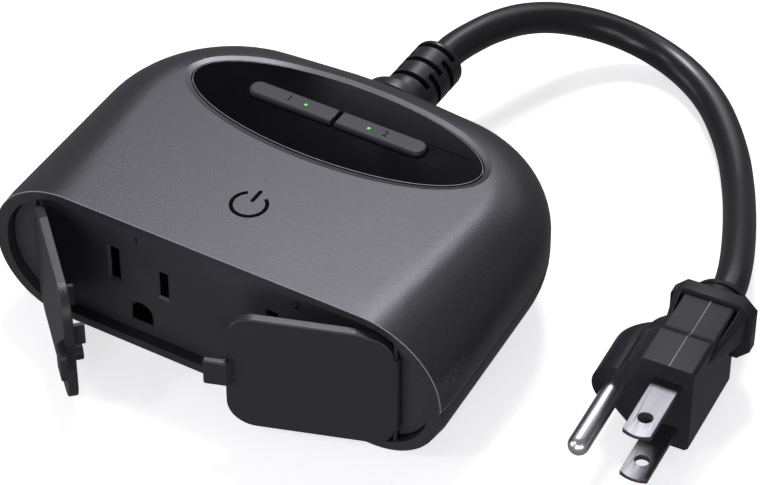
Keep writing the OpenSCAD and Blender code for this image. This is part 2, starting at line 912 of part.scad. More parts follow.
// ---- mains plug, drawn with its face at the origin and its pins along +X ----

module at_plug() {
    from_rim() translate(plug_face) rotate([0, 0, plug_turn - 90]) children();
}

module along_x(from, to) {
    translate([from, 0, 0]) rotate([90, 0, 90]) linear_extrude(to - from) children();
}

// Front outline with the ground lobe at one side
module plug_outline() {
    h = body_h / 2;
    polygon([
        [body_right, -h + 0.8], [body_right, h - 0.8], [body_right - 0.8, h],
        [-body_left, h], [lobe_y, lobe_r], [lobe_y, -lobe_r], [-body_left - 1, -h + 1.2],
        [-body_left + 1, -h], [body_right - 0.8, -h]
    ]);
}

module plug_body() {
    color([0.12, 0.12, 0.13]) at_plug() difference() {
        union() {
            along_x(-lobe_l, 0) plug_outline();
            along_x(-lobe_l, 0) translate([lobe_y, 0]) circle(r = lobe_r, $fn = 48);
            translate([-lobe_l, lobe_y, 0]) sphere(r = lobe_r, $fn = 48);
            along_x(-body_l, -block_l)
                translate([-body_left, -body_h / 2]) square([body_left + body_right, body_h - recess]);
        }
        for (side = [-1, 1]) translate([-seat, 0, side * blade_sep / 2])
            translate([0, -blade[1] / 2, -blade[2] / 2]) cube([seat + 1, blade[1], blade[2]]);
        translate([-seat, -ground_offset, 0]) rotate([0, 90, 0])
            cylinder(r = ground_seat_r, h = seat + 1, $fn = 32);
    }
}

module octagon(width, height, cut) {
    w = width / 2;
    h = height / 2;
    polygon([
        [w, -h + cut], [w, h - cut], [w - cut, h], [cut - w, h],
        [-w, h - cut], [-w, cut - h], [cut - w, -h], [w - cut, -h]
    ]);
}

module plug_collar() {
    collar_x = -body_l - collar_t;
    color([0.12, 0.12, 0.13]) at_plug() translate([0, 0, entry_z]) {
        along_x(collar_x, -body_l) octagon(collar_w, collar_h, collar_cut);
        along_x(collar_x - entry_l, collar_x + eps) circle(r = entry_r, $fn = 48);
    }
}

module flat_blade(z) {
    color([0.8, 0.8, 0.8]) at_plug() translate([0, 0, z]) difference() {
        translate([-seat, -blade[1] / 2, -blade[2] / 2]) cube([seat + blade[0], blade[1], blade[2]]);
        translate([blade_hole_x, 0, -2]) cylinder(r = blade_hole_r, h = 4, $fn = 32);
    }
}

module hot_blade() {
    flat_blade(blade_sep / 2);
}

module neutral_blade() {
    flat_blade(-blade_sep / 2);
}

module ground_pin() {
    tip_x = ground_pin_l - ground_pin_r;
    color([0.85, 0.85, 0.85]) at_plug() translate([0, -ground_offset, 0]) {
        translate([-seat, 0, 0]) rotate([0, 90, 0])
            cylinder(r = ground_seat_r, h = seat + eps, $fn = 32);
        rotate([0, 90, 0]) cylinder(r = ground_pin_r, h = tip_x, $fn = 32);
        translate([tip_x, 0, 0]) sphere(r = ground_pin_r, $fn = 32);
    }
}

top_shell();
bottom_shell();
shell_gasket();
case_screws();
outlet_plate();
contact_carrier();
hot_contact(outlet_centres[0]);  // hot_contact_1
hot_contact(outlet_centres[1]);  // hot_contact_2
neutral_bus();
ground_bus();
panel_trim();
control_panel();
button_seal();
button_1();
button_2();
indicator(-1);  // indicator_1
indicator(1);  // indicator_2
plunger(-1);  // plunger_1
plunger(1);  // plunger_2
switch_board();
tact_switches();
switch_board_screws();
main_board();
board_screws();
relay(-1);  // relay_1
relay(1);  // relay_2
transformer();
wifi_module();
capacitors();
fuse();
varistor();
terminal_block();
hinge_pin_left();
hinge_pin_right();
cover_left();
cover_right();
cover_plug_left();
cover_plug_right();
strain_relief();
cord_clamp();
clamp_screws();
lead_sheath();
lead_wire(-1, [0.1, 0.1, 0.1]);  // hot_lead
lead_wire(1, [0.9, 0.9, 0.9]);  // neutral_lead
lead_wire(0, [0.2, 0.6, 0.3]);  // ground_lead
power_cord();
plug_body();
plug_collar();
hot_blade();
neutral_blade();
ground_pin();
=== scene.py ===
"""Looks of a two-outlet smart plug: shells, covers, control panel, lead and mains plug.

Shapes are drawn in millimetres with y measured from the housing's front rim, as in the CAD
source. place() turns them into metres in the CAD's own frame.
"""
import math

import bmesh
import bpy
import numpy as np
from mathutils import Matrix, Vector


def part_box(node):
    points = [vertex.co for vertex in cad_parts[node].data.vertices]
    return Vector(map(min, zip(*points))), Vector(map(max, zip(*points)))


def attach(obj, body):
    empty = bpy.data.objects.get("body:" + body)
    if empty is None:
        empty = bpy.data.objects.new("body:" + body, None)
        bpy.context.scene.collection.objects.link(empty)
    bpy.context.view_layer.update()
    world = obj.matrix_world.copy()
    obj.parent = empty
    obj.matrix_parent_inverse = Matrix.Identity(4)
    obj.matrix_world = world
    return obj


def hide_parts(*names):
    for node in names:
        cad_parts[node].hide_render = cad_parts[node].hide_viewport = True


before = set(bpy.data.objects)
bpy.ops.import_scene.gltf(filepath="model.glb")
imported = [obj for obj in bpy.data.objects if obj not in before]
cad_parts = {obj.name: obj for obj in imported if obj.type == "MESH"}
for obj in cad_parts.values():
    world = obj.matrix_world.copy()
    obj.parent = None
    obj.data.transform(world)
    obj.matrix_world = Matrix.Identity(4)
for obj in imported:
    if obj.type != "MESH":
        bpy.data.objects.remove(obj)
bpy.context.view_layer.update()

MM = 0.001
RIM_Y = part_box("top_shell")[0].y  # the rim's plane in the CAD's frame
HOUSING = "housing"

# Camera, as fitted to the photo: angles in degrees, target in millimetres from the rim, metres
CAMERA_AZIMUTH, CAMERA_ELEVATION = 30.378, 41.691
CAMERA_TARGET = (42.53, 0, 59.27)
CAMERA_DISTANCE, CAMERA_LENS, SENSOR_WIDTH = 0.6425, 149.53, 36

# Housing form
HEIGHT = 36.3
DEPTH = 78
WALL = 2.4
PARTING_Z = 17.6
SPINE_X = 40  # line inside the housing that its surface is drawn from
SPINE_Y = 46
SPINE_BACK = 22.5
RIM_ARCS = [(37, 18.15, 20, 18.15), (40, 16.5, 17, 16.5)]  # centre x and z, half-axes
MOUTH_ARCS = [(37, 18.15, 17, 15.85), (40, 16.5, 14, 14.3)]
FLARE, FLARE_Y = 0.5, 4  # the sides widen by this much, this far behind the rim
CORNER_X, CORNER_Y = 22, 42.5  # centre of each round back corner
CORNER_ROUNDS = [(19.5, 21.8, 14.5), (16, 18, 18)]  # ring radius, height, edge radius
BACK_X, BACK_Z, BACK_R = 6, 21.8, 14.5  # the straight back edge's rounding
MOUTH_DEPTH = 5.2
SEAM_CHAMFER = 0.2  # each shell's outer edge is drawn in along the seam
BAND_LEAN = 0.4
BAND_ANGLE = 66  # the rim's top band starts at this angle above the sides

# Outlets and covers
PLATE_Y, PLATE_T = 2.3, 4
OUTLETS = (-20.5, 20.5)
BLADE_DX = 6.35
SLOT_Z, SLOT_W = 15.6, 2.2
SLOT_H = {-1: 8.9, 1: 7.1}  # neutral slot, then hot slot
GROUND_Z, GROUND_R, GROUND_FLAT = 8, 2.7, 2.8
FRAME_W = 0.55  # sunk bevel round each hole
COVER_EDGE_X, COVER_L, COVER_T = 46.7, 37.9, 2.2
COVER_Y = -0.25
COVER_Z = (2.45, 33.75)
HINGE, HINGE_BORE_R = (45.6, 0.85), 0.56
KNUCKLE_Z = (7.2, 27.4)
OPEN = {"left": 45, "right": 19}  # degrees from closed, in the photo's pose
TAB_Z = (15.1, 21.7)

# Controls
PANEL_Y, PANEL_A, PANEL_B, PANEL_T = 52.4, 37, 13.2, 1.5
TRIM_W, WINDOW_GAP = 2, 0.25
BAR_Y, BAR_L, BAR_W, BAR_TOP = 53.2, 45.6, 4.8, 37.1
BAR_GAP = 0.4  # from the middle to each button
LED_X, LED_R = 8.2, 0.45

# Lead and mains plug
CORD_D, CORD_Z = 7.7, 20.5
RELIEF_R = 6.35
CORD_ROUTE = [
    (0, 100, 20.5), (0.5, 106, 20.5), (2, 112, 20.4), (4.5, 119, 20), (8, 127, 18.4),
    (13, 135, 15.4), (20, 142, 11.4), (28, 146, 7.9), (37, 146.5, 5.4), (46, 143.5, 4.2),
    (54.5, 137.5, 3.9), (62, 129.4, 4), (68.6, 120.2, 4.6), (74.3, 110.2, 6),
    (79.4, 99.9, 8.3), (84.1, 89.3, 11), (88.2, 79, 13.3), (91, 70.2, 14.9),
    (92.07, 63.62, 15.3),
]
PLUG_FACE = np.array([94.3, 31.8, 11.7])
PLUG_TURN = 4
BODY_RIGHT, BODY_LEFT, BODY_H, BODY_L = 5.8, 6, 23, 24.2
LOBE_Y, LOBE_R, LOBE_L = -11.4, 5.9, 12.6
BLOCK_L, RECESS = 10.4, 1.2
COLLAR_W, COLLAR_H, COLLAR_T, COLLAR_CUT = 19.2, 15.6, 3.4, 2.8
ENTRY_Z, ENTRY_R, ENTRY_L = 3.6, 7.3, 4.3
BLADE_L, BLADE_W, BLADE_T = 17.8, 6.35, 1.52
BLADE_SEP, BLADE_HOLE_X, BLADE_HOLE_R = 12.7, 12.2, 1.6
PIN_R, PIN_L, PIN_OFFSET = 2.4, 21.4, 11.9
SEAT = 6  # how far blades and pin reach into the plug

# Studio: each light's azimuth and elevation in degrees, size in metres, radiance
LIGHT_DISTANCE = 1.1
LIGHT_COLOUR = (0.93, 0.915, 1)
LIGHTS = {
    "key": (207, 58, (0.3, 0.26), 38),
    "back_sheet": (183, 33, (0.9, 0.36), 1.6),
    "front_right": (15, 12, (0.5, 0.4), 9.5),
    "right": (55, 12, (0.5, 0.4), 3.5),
    "left": (290, 12, (0.5, 0.4), 4),
    "front_left": (315, 12, (0.5, 0.4), 3),
    "edge_light": (330, 40, (0.1, 0.1), 40),
}
WORLD_COLOUR, WORLD_STRENGTH = (0.95, 0.94, 1, 1), 0.19
FLOOR_HALF, FLOOR_GLOW = 6, 0.62


# ---- frames ----

def place(points):
    """Points in millimetres from the rim, as metres in the CAD's frame."""
    return np.asarray(points, float) * MM + [0, RIM_Y, 0]


def at_plug(points):
    """Points in the plug's frame, X out along its blades, as millimetres from the rim."""
    turn = math.radians(PLUG_TURN)
    out = np.array([math.sin(turn), -math.cos(turn), 0])
    across = np.array([math.cos(turn), math.sin(turn), 0])
    points = np.asarray(points, float)
    return PLUG_FACE + points[..., :1] * out + points[..., 1:2] * across + points[..., 2:] * [0, 0, 1]


def swung(points, side):
    """Points of a closed right-hand cover, turned to how it stands open at that side."""
    turn = math.radians(OPEN[side])
    points = np.array(points, float)
    x, y = points[:, 0] - HINGE[0], points[:, 1] - HINGE[1]
    points[:, 0] = HINGE[0] + x * math.cos(turn) - y * math.sin(turn)
    points[:, 1] = HINGE[1] + x * math.sin(turn) + y * math.cos(turn)
    return points * [-1, 1, 1] if side == "left" else points


def linked(name, data):
    """A new object for the data, in the scene."""
    piece = bpy.data.objects.new(name, data)
    bpy.context.scene.collection.objects.link(piece)
    return piece


def aim(piece, target, azimuth, elevation, distance):
    """Stands a camera or light off its target: azimuth turns from the front to the right."""
    turn, rise = math.radians(azimuth), math.radians(elevation)
    flat = math.cos(rise)
    back = Vector((math.sin(turn) * flat, -math.cos(turn) * flat, math.sin(rise)))
    piece.rotation_mode = "QUATERNION"
    piece.location = Vector(target) + back * distance
    piece.rotation_quaternion = (-back).to_track_quat("-Z", "Y")


# ---- camera ----

def make_camera():
    data = bpy.data.cameras.new("camera")
    data.lens = CAMERA_LENS
    data.sensor_width = SENSOR_WIDTH
    camera = linked("camera", data)
    aim(camera, place(CAMERA_TARGET), CAMERA_AZIMUTH, CAMERA_ELEVATION, CAMERA_DISTANCE)
    bpy.context.scene.camera = camera


# ---- materials ----

def new_material(name):
    material = bpy.data.materials.new(name)
    material.use_nodes = True
    tree = material.node_tree
    return material, tree, tree.nodes["Principled BSDF"]


NOISE_LOW, NOISE_HIGH = 0.3, 0.7  # where most of a noise texture's values lie


def noise(tree, scale, detail=2, stretch=(1, 1, 1)):
    """A noise texture in the object's own space, with its scale in features per metre."""
    place_in = tree.nodes.new("ShaderNodeTexCoord")
    mapping = tree.nodes.new("ShaderNodeMapping")
    mapping.inputs["Scale"].default_value = stretch
    texture = tree.nodes.new("ShaderNodeTexNoise")
    texture.inputs["Scale"].default_value = scale
    texture.inputs["Detail"].default_value = detail
    tree.links.new(place_in.outputs["Object"], mapping.inputs["Vector"])
    tree.links.new(mapping.outputs["Vector"], texture.inputs["Vector"])
    return texture.outputs["Fac"]


def vary_roughness(tree, shader, value, low, high):
    """Roughness between low and high, following a noise value."""
    node = tree.nodes.new("ShaderNodeMapRange")
    numbers = {"From Min": NOISE_LOW, "From Max": NOISE_HIGH, "To Min": low, "To Max": high}
    for name, number in numbers.items():
        node.inputs[name].default_value = number
    tree.links.new(value, node.inputs["Value"])
    tree.links.new(node.outputs["Result"], shader.inputs["Roughness"])


def vary_colour(tree, shader, value, colour, dark, light):
    """Base colour between two multiples of a colour, following a noise value."""
    ramp = tree.nodes.new("ShaderNodeValToRGB")
    ends = zip(ramp.color_ramp.elements, (NOISE_LOW, NOISE_HIGH), (dark, light))
    for end, position, factor in ends:
        end.position = position
        end.color = (*(c * factor for c in colour), 1)
    tree.links.new(value, ramp.inputs["Fac"])
    tree.links.new(ramp.outputs["Color"], shader.inputs["Base Color"])


def bump(tree, shader, height, strength, distance):
    node = tree.nodes.new("ShaderNodeBump")
    node.inputs["Strength"].default_value = strength
    node.inputs["Distance"].default_value = distance
    tree.links.new(height, node.inputs["Height"])
    tree.links.new(node.outputs["Normal"], shader.inputs["Normal"])


def moulded(name, colour, rough=0.4, grain=900, relief=0.1, speckle=0.1, specular=0.5):
    """Moulded plastic: a fine grain (per metre) with some relief and speckle, cloudy gloss."""
    material, tree, shader = new_material(name)
    fine = noise(tree, grain, 3)
    vary_colour(tree, shader, fine, colour, 1 - speckle, 1 + speckle)
    vary_roughness(tree, shader, noise(tree, 60), rough - 0.012, rough + 0.012)
    shader.inputs["Specular IOR Level"].default_value = specular
    bump(tree, shader, fine, relief, 0.00006)
    return material


def metal(name, colour, rough, stretch):
    """Drawn or rolled metal with fine lines along its length."""
    material, tree, shader = new_material(name)
    lines = noise(tree, 900, 3, stretch)
    vary_colour(tree, shader, lines, colour, 0.97, 1)
    vary_roughness(tree, shader, lines, rough * 0.95, rough * 1.1)
    shader.inputs["Metallic"].default_value = 1
    bump(tree, shader, lines, 0.02, 0.00001)
    return material


def glossy(name, colour, rough):
    """Polished black acrylic with a trace of haze."""
    material, tree, shader = new_material(name)
    haze = noise(tree, 90)
    vary_colour(tree, shader, haze, colour, 1, 1.3)
    vary_roughness(tree, shader, haze, rough, rough * 1.5)
    shader.inputs["Specular IOR Level"].default_value = 0.12
    return material


def lamp(name, colour, strength):
    """A lit lens with a fine grain."""
    material, tree, shader = new_material(name)
    vary_colour(tree, shader, noise(tree, 3000, 1), colour, 0.85, 1)
    shader.inputs["Emission Color"].default_value = (*colour, 1)
    shader.inputs["Emission Strength"].default_value = strength
    return material


SHELL = moulded("shell_grey", (0.0225, 0.022, 0.025), 0.38, 2500, 0.45, 0.35)
SHELL_LOWER = moulded("shell_lower_grey", (0.02, 0.0195, 0.022), 0.46, 2600, 0.3, 0.15)
PLATE = moulded("plate_grey", (0.028, 0.027, 0.031), 0.42, 2600, 0.2, 0.1)
COVER = moulded("cover_grey", (0.0155, 0.015, 0.0172), 0.45, 2600, 0.25, 0.1)
COVER_PAD = moulded("cover_pad_black", (0.022, 0.021, 0.024), 0.55, 1800, 0.2, 0.1)
PANEL = glossy("panel_black", (0.001, 0.001, 0.0013), 0.08)
TRIM = moulded("trim_grey", (0.022, 0.0215, 0.0245), 0.36, 2600, 0.15, 0.08)
BUTTON = moulded("button_grey", (0.0125, 0.0122, 0.0138), 0.5, 2600, 0.3, 0.1, 0.35)
SEAL = moulded("seal_black", (0.012, 0.012, 0.012), 0.6, 1500, 0.2, 0.15)
# Matte black for the printed numerals and power sign, and also for the painted shade inside the outlet
# holes
PRINT_AND_SHADE_BLACK = moulded("print_and_painted_shade_black", (0.002, 0.002, 0.002), 0.8, 2200, 0.1, 0.1, 0.03)
LEAD = moulded("lead_black", (0.009, 0.0087, 0.0105), 0.33, 1500, 0.12, 0.1)
RELIEF = moulded("relief_black", (0.011, 0.0107, 0.0125), 0.34, 1800, 0.15, 0.1)
PLUG = moulded("plug_black", (0.02, 0.0196, 0.0222), 0.3, 1800, 0.1, 0.1, 0.12)
# Painted highlight: a pale grey, about ten times lighter than the shell, for the fine beads that stand
# in for edges catching light
HIGHLIGHT_GREY = moulded("painted_highlight_grey", (0.22, 0.216, 0.235), 0.35, 2600, 0.05, 0.1)
FLASH = moulded("plug_flash_grey", (0.14, 0.137, 0.15), 0.4, 1800, 0.1, 0.1)
NICKEL = metal("blade_nickel", (0.15, 0.148, 0.154), 0.42, (1, 0.05, 1))
CHROME = metal("pin_chrome", (0.85, 0.845, 0.86), 0.27, (1, 0.05, 1))
STEEL = metal("screw_steel", (0.55, 0.55, 0.56), 0.3, (1, 1, 0.1))
BRASS = metal("contact_brass", (0.75, 0.52, 0.22), 0.28, (1, 0.1, 1))
GREEN_LAMP = lamp("indicator_green", (0.1, 0.75, 0.06), 0.75)
BOARD = moulded("board_green", (0.02, 0.11, 0.05), 0.4, 900, 0.2, 0.2)
COMPONENT = moulded("component_blue", (0.02, 0.06, 0.2))
DARK_PART = moulded("switch_black", (0.02, 0.02, 0.02))
CARRIER = moulded("carrier_white", (0.5, 0.49, 0.45), 0.5, 900, 0.1, 0.05)


# ---- meshes ----

def mesh_object(name, points, faces):
    """A mesh object from points in metres, welded, with its faces turned outwards."""
    mesh = bpy.data.meshes.new(name)
    mesh.from_pydata([tuple(map(float, p)) for p in points], [], [tuple(map(int, f)) for f in faces])
    work = bmesh.new()
    work.from_mesh(mesh)
    bmesh.ops.remove_doubles(work, verts=work.verts, dist=0.004 * MM)
    bmesh.ops.dissolve_degenerate(work, edges=work.edges, dist=0.002 * MM)
    bmesh.ops.recalc_face_normals(work, faces=work.faces)
    work.to_mesh(mesh)
    work.free()
    return linked(name, mesh)


def grid_object(name, grid):
    """An object from rows of points, each row a closed loop, in the units of its points."""
    return mesh_object(name, grid.reshape(-1, 3), grid_faces(*grid.shape[:2], True))


def finish_piece(piece, material, body=HOUSING, nodes=(), bevel=0.0, angle=35):
    """Shading, edge rounding, material and place in the assembly of one piece."""
    mesh = piece.data
    mesh.materials.clear()
    mesh.materials.append(material)
    mesh.polygons.foreach_set("use_smooth", [True] * len(mesh.polygons))
    if bevel:
        rounding = piece.modifiers.new("rounding", "BEVEL")
        rounding.width = bevel * MM
        rounding.segments = 2
        rounding.limit_method = "ANGLE"
        rounding.angle_limit = math.radians(angle)
        rounding.harden_normals = False
    else:
        mesh.set_sharp_from_angle(angle=math.radians(angle))
    weighted = piece.modifiers.new("weighted", "WEIGHTED_NORMAL")
    weighted.keep_sharp = True
    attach(piece, body)
    if nodes:
        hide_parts(*nodes)
    return piece


def grid_faces(rows, columns, closed, start=0):
    """Faces between rows of points; closed joins each row's last point to its first."""
    faces = []
    for r in range(rows - 1):
        here, ahead = start + r * columns, start + (r + 1) * columns
        for c in range(columns if closed else columns - 1):
            after = (c + 1) % columns
            faces.append((here + c, here + after, ahead + after, ahead + c))
    return faces


def patches_object(name, patches, caps=()):
    """One object from grids of points, each (array of rows, closed), and capping loops."""
    points, faces = [], []
    for grid, closed in patches:
        rows, columns = grid.shape[:2]
        faces += grid_faces(rows, columns, closed, len(points))
        points += list(grid.reshape(-1, 3))
    for loop in caps:
        faces.append(tuple(range(len(points), len(points) + len(loop))))
        points += list(loop)
    return mesh_object(name, place(points), faces)


def combined(piece, other, operation):
    """piece after a boolean with other, which is used up."""
    step = piece.modifiers.new("step", "BOOLEAN")
    step.object = other
    step.operation = operation
    step.solver = "EXACT"
    graph = bpy.context.evaluated_depsgraph_get()
    mesh = bpy.data.meshes.new_from_object(piece.evaluated_get(graph))
    piece.modifiers.clear()
    piece.data = mesh
    bpy.data.objects.remove(other)
    return piece


def curve_mesh(curve):
    """Points and faces that a filled curve or a text makes."""
    holder = linked("outline", curve)
    graph = bpy.context.evaluated_depsgraph_get()
    mesh = bpy.data.meshes.new_from_object(holder.evaluated_get(graph))
    points = np.array([v.co for v in mesh.vertices])
    faces = [tuple(p.vertices) for p in mesh.polygons]
    bpy.data.objects.remove(holder)
    bpy.data.meshes.remove(mesh)
    return points, faces


def extruded(loops, low, high, edge, segments=3):
    """Points (u, v, w) and faces of flat outlines run from w low to high, with rounded edges.

    The first loop is the outer outline and the others are holes.
    """
    curve = bpy.data.curves.new("outline", "CURVE")
    curve.dimensions = "2D"
    curve.fill_mode = "BOTH"
    curve.extrude = (high - low) / 2 - edge
    curve.bevel_depth = edge
    curve.bevel_resolution = segments
    curve.offset = -edge
    for loop in loops:
        spline = curve.splines.new("POLY")
        spline.points.add(len(loop) - 1)
        for point, (u, v) in zip(spline.points, loop):
            point.co = (u, v, 0, 1)
        spline.use_cyclic_u = True
    points, faces = curve_mesh(curve)
    return points + [0, 0, (low + high) / 2], faces


def move_points(piece, change):
    """Puts a mesh's points where change takes them."""
    vertices = piece.data.vertices
    vertices.foreach_set("co", change([v.co for v in vertices]).ravel())


def facing_front(points):
    """(u, v, w) as x, z and depth behind the rim."""
    return points[:, [0, 2, 1]]


def turned(profile, steps=64):
    """Grid of points round an axis: rows of (along, radius) become (along, side, up)."""
    angles = np.linspace(0, 2 * np.pi, steps, endpoint=False)
    return np.array([
        [(along, radius * math.sin(a), radius * math.cos(a)) for a in angles]
        for along, radius in profile
    ])


def upright(profile, x, y, steps=32):
    """Grid of points round a vertical axis at x, y from a profile of (height, radius)."""
    return turned(profile, steps)[..., [1, 2, 0]] + [x, y, 0]


def arc(x, y, a, b, start, end, steps):
    """Points along an elliptic arc round (x, y), from start to end in degrees."""
    angles = np.radians(np.linspace(start, end, steps + 1))
    return [(x + a * math.cos(t), y + b * math.sin(t)) for t in angles]


def rounded(points, radii, steps=6):
    """An outline with an arc of the given radius at each corner."""
    out = []
    count = len(points)
    for i, radius in enumerate(radii):
        corner = np.array(points[i], float)
        before = np.array(points[i - 1], float) - corner
        after = np.array(points[(i + 1) % count], float) - corner
        if radius == 0:
            out.append(tuple(corner))
            continue
        before /= np.linalg.norm(before)
        after /= np.linalg.norm(after)
        half = math.acos(np.clip(before @ after, -1, 1)) / 2
        centre = corner + (before + after) / np.linalg.norm(before + after) * radius / math.sin(half)
        first = corner + before * radius / math.tan(half) - centre
        last = corner + after * radius / math.tan(half) - centre
        sweep = math.pi - 2 * half
        for k in range(steps + 1):
            t = k / steps
            mix = math.sin((1 - t) * sweep) * first + math.sin(t * sweep) * last
            out.append(tuple(centre + mix / math.sin(sweep)))
    return out


# ---- housing surface ----

def ellipse_reach(x, z, arcs, inset, grow=0):
    """How far an outline made of elliptic arcs reaches along the directions (x, z)."""
    return np.max([
        np.abs(x) * cx + z * cz + np.hypot(x * (a - inset + grow), z * (b - inset))
        for cx, cz, a, b in arcs
    ], axis=0)


def housing_reach(n, inset):
    """How far the housing's form, drawn in by inset, reaches along the directions n."""
    x, y, z = np.abs(n[..., 0]), n[..., 1], n[..., 2]
    flat = np.hypot(x, y)
    corner = CORNER_X * x + CORNER_Y * y
    return np.max([
        ellipse_reach(x, z, RIM_ARCS, inset),
        ellipse_reach(x, z, RIM_ARCS, inset, FLARE) + FLARE_Y * y,
        *(corner + ring * flat + height * z + edge - inset for ring, height, edge in CORNER_ROUNDS),
        BACK_X * x + (DEPTH - BACK_R) * y + BACK_Z * z + (BACK_R - inset) * np.hypot(y, z),
    ], axis=0)


def sphere_directions(count):
    """Directions spread evenly over a sphere."""
    k = np.arange(count) + 0.5
    z = 1 - 2 * k / count
    turn = np.pi * (1 + 5 ** 0.5) * k
    r = np.sqrt(1 - z * z)
    return np.stack([r * np.cos(turn), r * np.sin(turn), z], axis=1)


COARSE_NORMALS = 2500
REFINEMENTS, FIRST_STEP, STEP_SHRINK = 20, 0.03, 0.7


def surface_points(starts, ways, inset):
    """Where rays from inside the housing's form meet its surface.

    A ray leaves this convex form through the nearest plane that touches it. The plane is
    sought among evenly spread normals, then in smaller and smaller steps round the best.
    """
    shape = starts.shape
    p, d = starts.reshape(-1, 3), ways.reshape(-1, 3)
    axes = np.vstack([np.eye(3), -np.eye(3)])
    normals = np.vstack([sphere_directions(COARSE_NORMALS), axes])
    reach = housing_reach(normals, inset)
    facing = d @ normals.T
    with np.errstate(divide="ignore", invalid="ignore"):
        far = np.where(facing > 1e-3, (reach - p @ normals.T) / facing, np.inf)
    best = normals[np.argmin(far, axis=1)]
    steps = np.array([(a, b) for a in range(-2, 3) for b in range(-2, 3)], float)
    size = FIRST_STEP
    for _ in range(REFINEMENTS):
        side = np.cross(best, [0.3, 0.5, 0.81])
        side /= np.linalg.norm(side, axis=1, keepdims=True)
        up = np.cross(best, side)
        tries = best[:, None] + size * (
            steps[None, :, :1] * side[:, None] + steps[None, :, 1:] * up[:, None]
        )
        tries /= np.linalg.norm(tries, axis=2, keepdims=True)
        facing = np.einsum("ijk,ik->ij", tries, d)
        gap = housing_reach(tries, inset) - np.einsum("ijk,ik->ij", tries, p)
        far = np.where(facing > 1e-4, gap / np.maximum(facing, 1e-4), np.inf)
        pick = np.argmin(far, axis=1)
        best = tries[np.arange(len(p)), pick]
        size *= STEP_SHRINK
    length = far[np.arange(len(p)), pick]
    return (p + d * length[:, None]).reshape(shape)


def mouth_points(x, y, angle):
    """Points of the rim's inner edge, seen from the line inside the housing."""
    around = np.linspace(-np.pi, np.pi, 2881)
    nx, nz = np.cos(around), np.sin(around)
    reach = ellipse_reach(nx, nz, MOUTH_ARCS, 0)
    out = []
    for px, py, turn in zip(x, y, angle):
        side = 1 if px >= 0 else -1
        dx, dz = side * math.cos(turn), math.sin(turn)
        facing = nx * dx + nz * dz
        gap = reach - nx * px - nz * PARTING_Z
        far = np.min(np.where(facing > 1e-3, gap / np.maximum(facing, 1e-3), np.inf))
        out.append((px + dx * far, py, PARTING_Z + dz * far))
    return np.array(out)


def spine():
    """The line inside the housing, round from the right rim to the left, and its outward ways."""
    side_y = np.concatenate(([0, 1.3, 2.6, 4], np.linspace(6.5, SPINE_Y, 16)[:-1]))
    t = np.linspace(0, np.pi, 57)
    bow = 2 / 2.5
    back_x = SPINE_X * np.sign(np.cos(t)) * np.abs(np.cos(t)) ** bow
    back_y = SPINE_Y + SPINE_BACK * np.abs(np.sin(t)) ** bow
    x = np.concatenate((np.full(len(side_y), SPINE_X), back_x, np.full(len(side_y), -SPINE_X)))
    y = np.concatenate((side_y, back_y, side_y[::-1]))
    way = np.stack([
        np.sign(x) * np.abs(x / SPINE_X) ** 1.5 / SPINE_X,
        np.where(y > SPINE_Y, (np.maximum(y - SPINE_Y, 0) / SPINE_BACK) ** 1.5 / SPINE_BACK, 0),
    ], axis=1)
    way /= np.linalg.norm(way, axis=1, keepdims=True)
    return np.stack([x, y], axis=1), way


SPINE, SPINE_WAY = spine()
SIDE_ANGLES = np.radians(np.concatenate(([0, 0.8], np.linspace(3.75, 90, 24))))
FRONT_X = np.linspace(-SPINE_X, SPINE_X, 42)[1:-1]


def side_rows(up, inset):
    """Rows of points from the parting plane up or down to above the spine."""
    start = np.column_stack([SPINE, np.full(len(SPINE), PARTING_Z)])
    start[:, 1] = np.maximum(start[:, 1], 1e-4)
    ways = np.array([
        np.column_stack([SPINE_WAY * math.cos(angle), np.full(len(SPINE), math.sin(angle))])
        for angle in SIDE_ANGLES * up
    ])
    return surface_points(np.array([start] * len(ways)), ways, inset)


def lean_back(points):
    """The foot of the rim's top band lies a little behind the rim."""
    angle = np.degrees(np.arctan2(points[:, 2] - PARTING_Z, np.abs(points[:, 0]) - SPINE_X))
    points[angle > BAND_ANGLE, 1] += BAND_LEAN
    return points


def inner_side_rows(up):
    """The inner surface's rows: the rim's mouth first, then the cavity behind it."""
    rows = side_rows(up, WALL)
    for r, angle in enumerate(SIDE_ANGLES * up):
        for c, depth in enumerate((0, MOUTH_DEPTH)):
            for column, x in ((c, SPINE_X), (-1 - c, -SPINE_X)):
                rows[r, column] = mouth_points([x], [depth], [angle])[0]
        if up > 0:
            for column in (0, -1):
                rows[r, column] = lean_back(rows[r, column][None])[0]
    start = np.array([[SPINE_X, MOUTH_DEPTH, PARTING_Z]] * len(SIDE_ANGLES))
    angle = SIDE_ANGLES * up
    for column, nearer, side in ((2, 3, 1), (-3, -4, -1)):
        way = np.column_stack([side * np.cos(angle), 0 * angle, np.sin(angle)])
        rows[:, column] = surface_points(start * [side, 1, 1], way, WALL)
        rows[:, nearer] = surface_points(start * [side, 1, 1] + [0, 0.6, 0], way, WALL)
    return rows


def level(loop, up, inset):
    """The loop's points carried straight up or down to the surface."""
    start = np.column_stack([loop[:, :2], np.full(len(loop), PARTING_Z)])
    start[:, 1] = np.maximum(start[:, 1], 1e-4)
    way = np.tile([0.0, 0.0, up], (len(loop), 1))
    return surface_points(start, way, inset)


def front_edge(up, inner):
    """The rim's straight stretch between the two ends of the spine, left to right."""
    loop = np.column_stack([FRONT_X, np.zeros(len(FRONT_X))])
    if not inner:
        return level(loop, up, 0)
    edge = mouth_points(FRONT_X, loop[:, 1], np.full(len(FRONT_X), up * np.pi / 2))
    return lean_back(edge) if up > 0 else edge


def ring_rows(outer, inner_xy, up, inset, rows):
    """Rows from the outer loop in to another loop, on the surface above or below."""
    steps = np.linspace(0, 1, rows + 1)[1:]
    made = [outer]
    for s in steps:
        made.append(level(outer[:, :2] * (1 - s) + inner_xy * s, up, inset))
    return np.array(made)


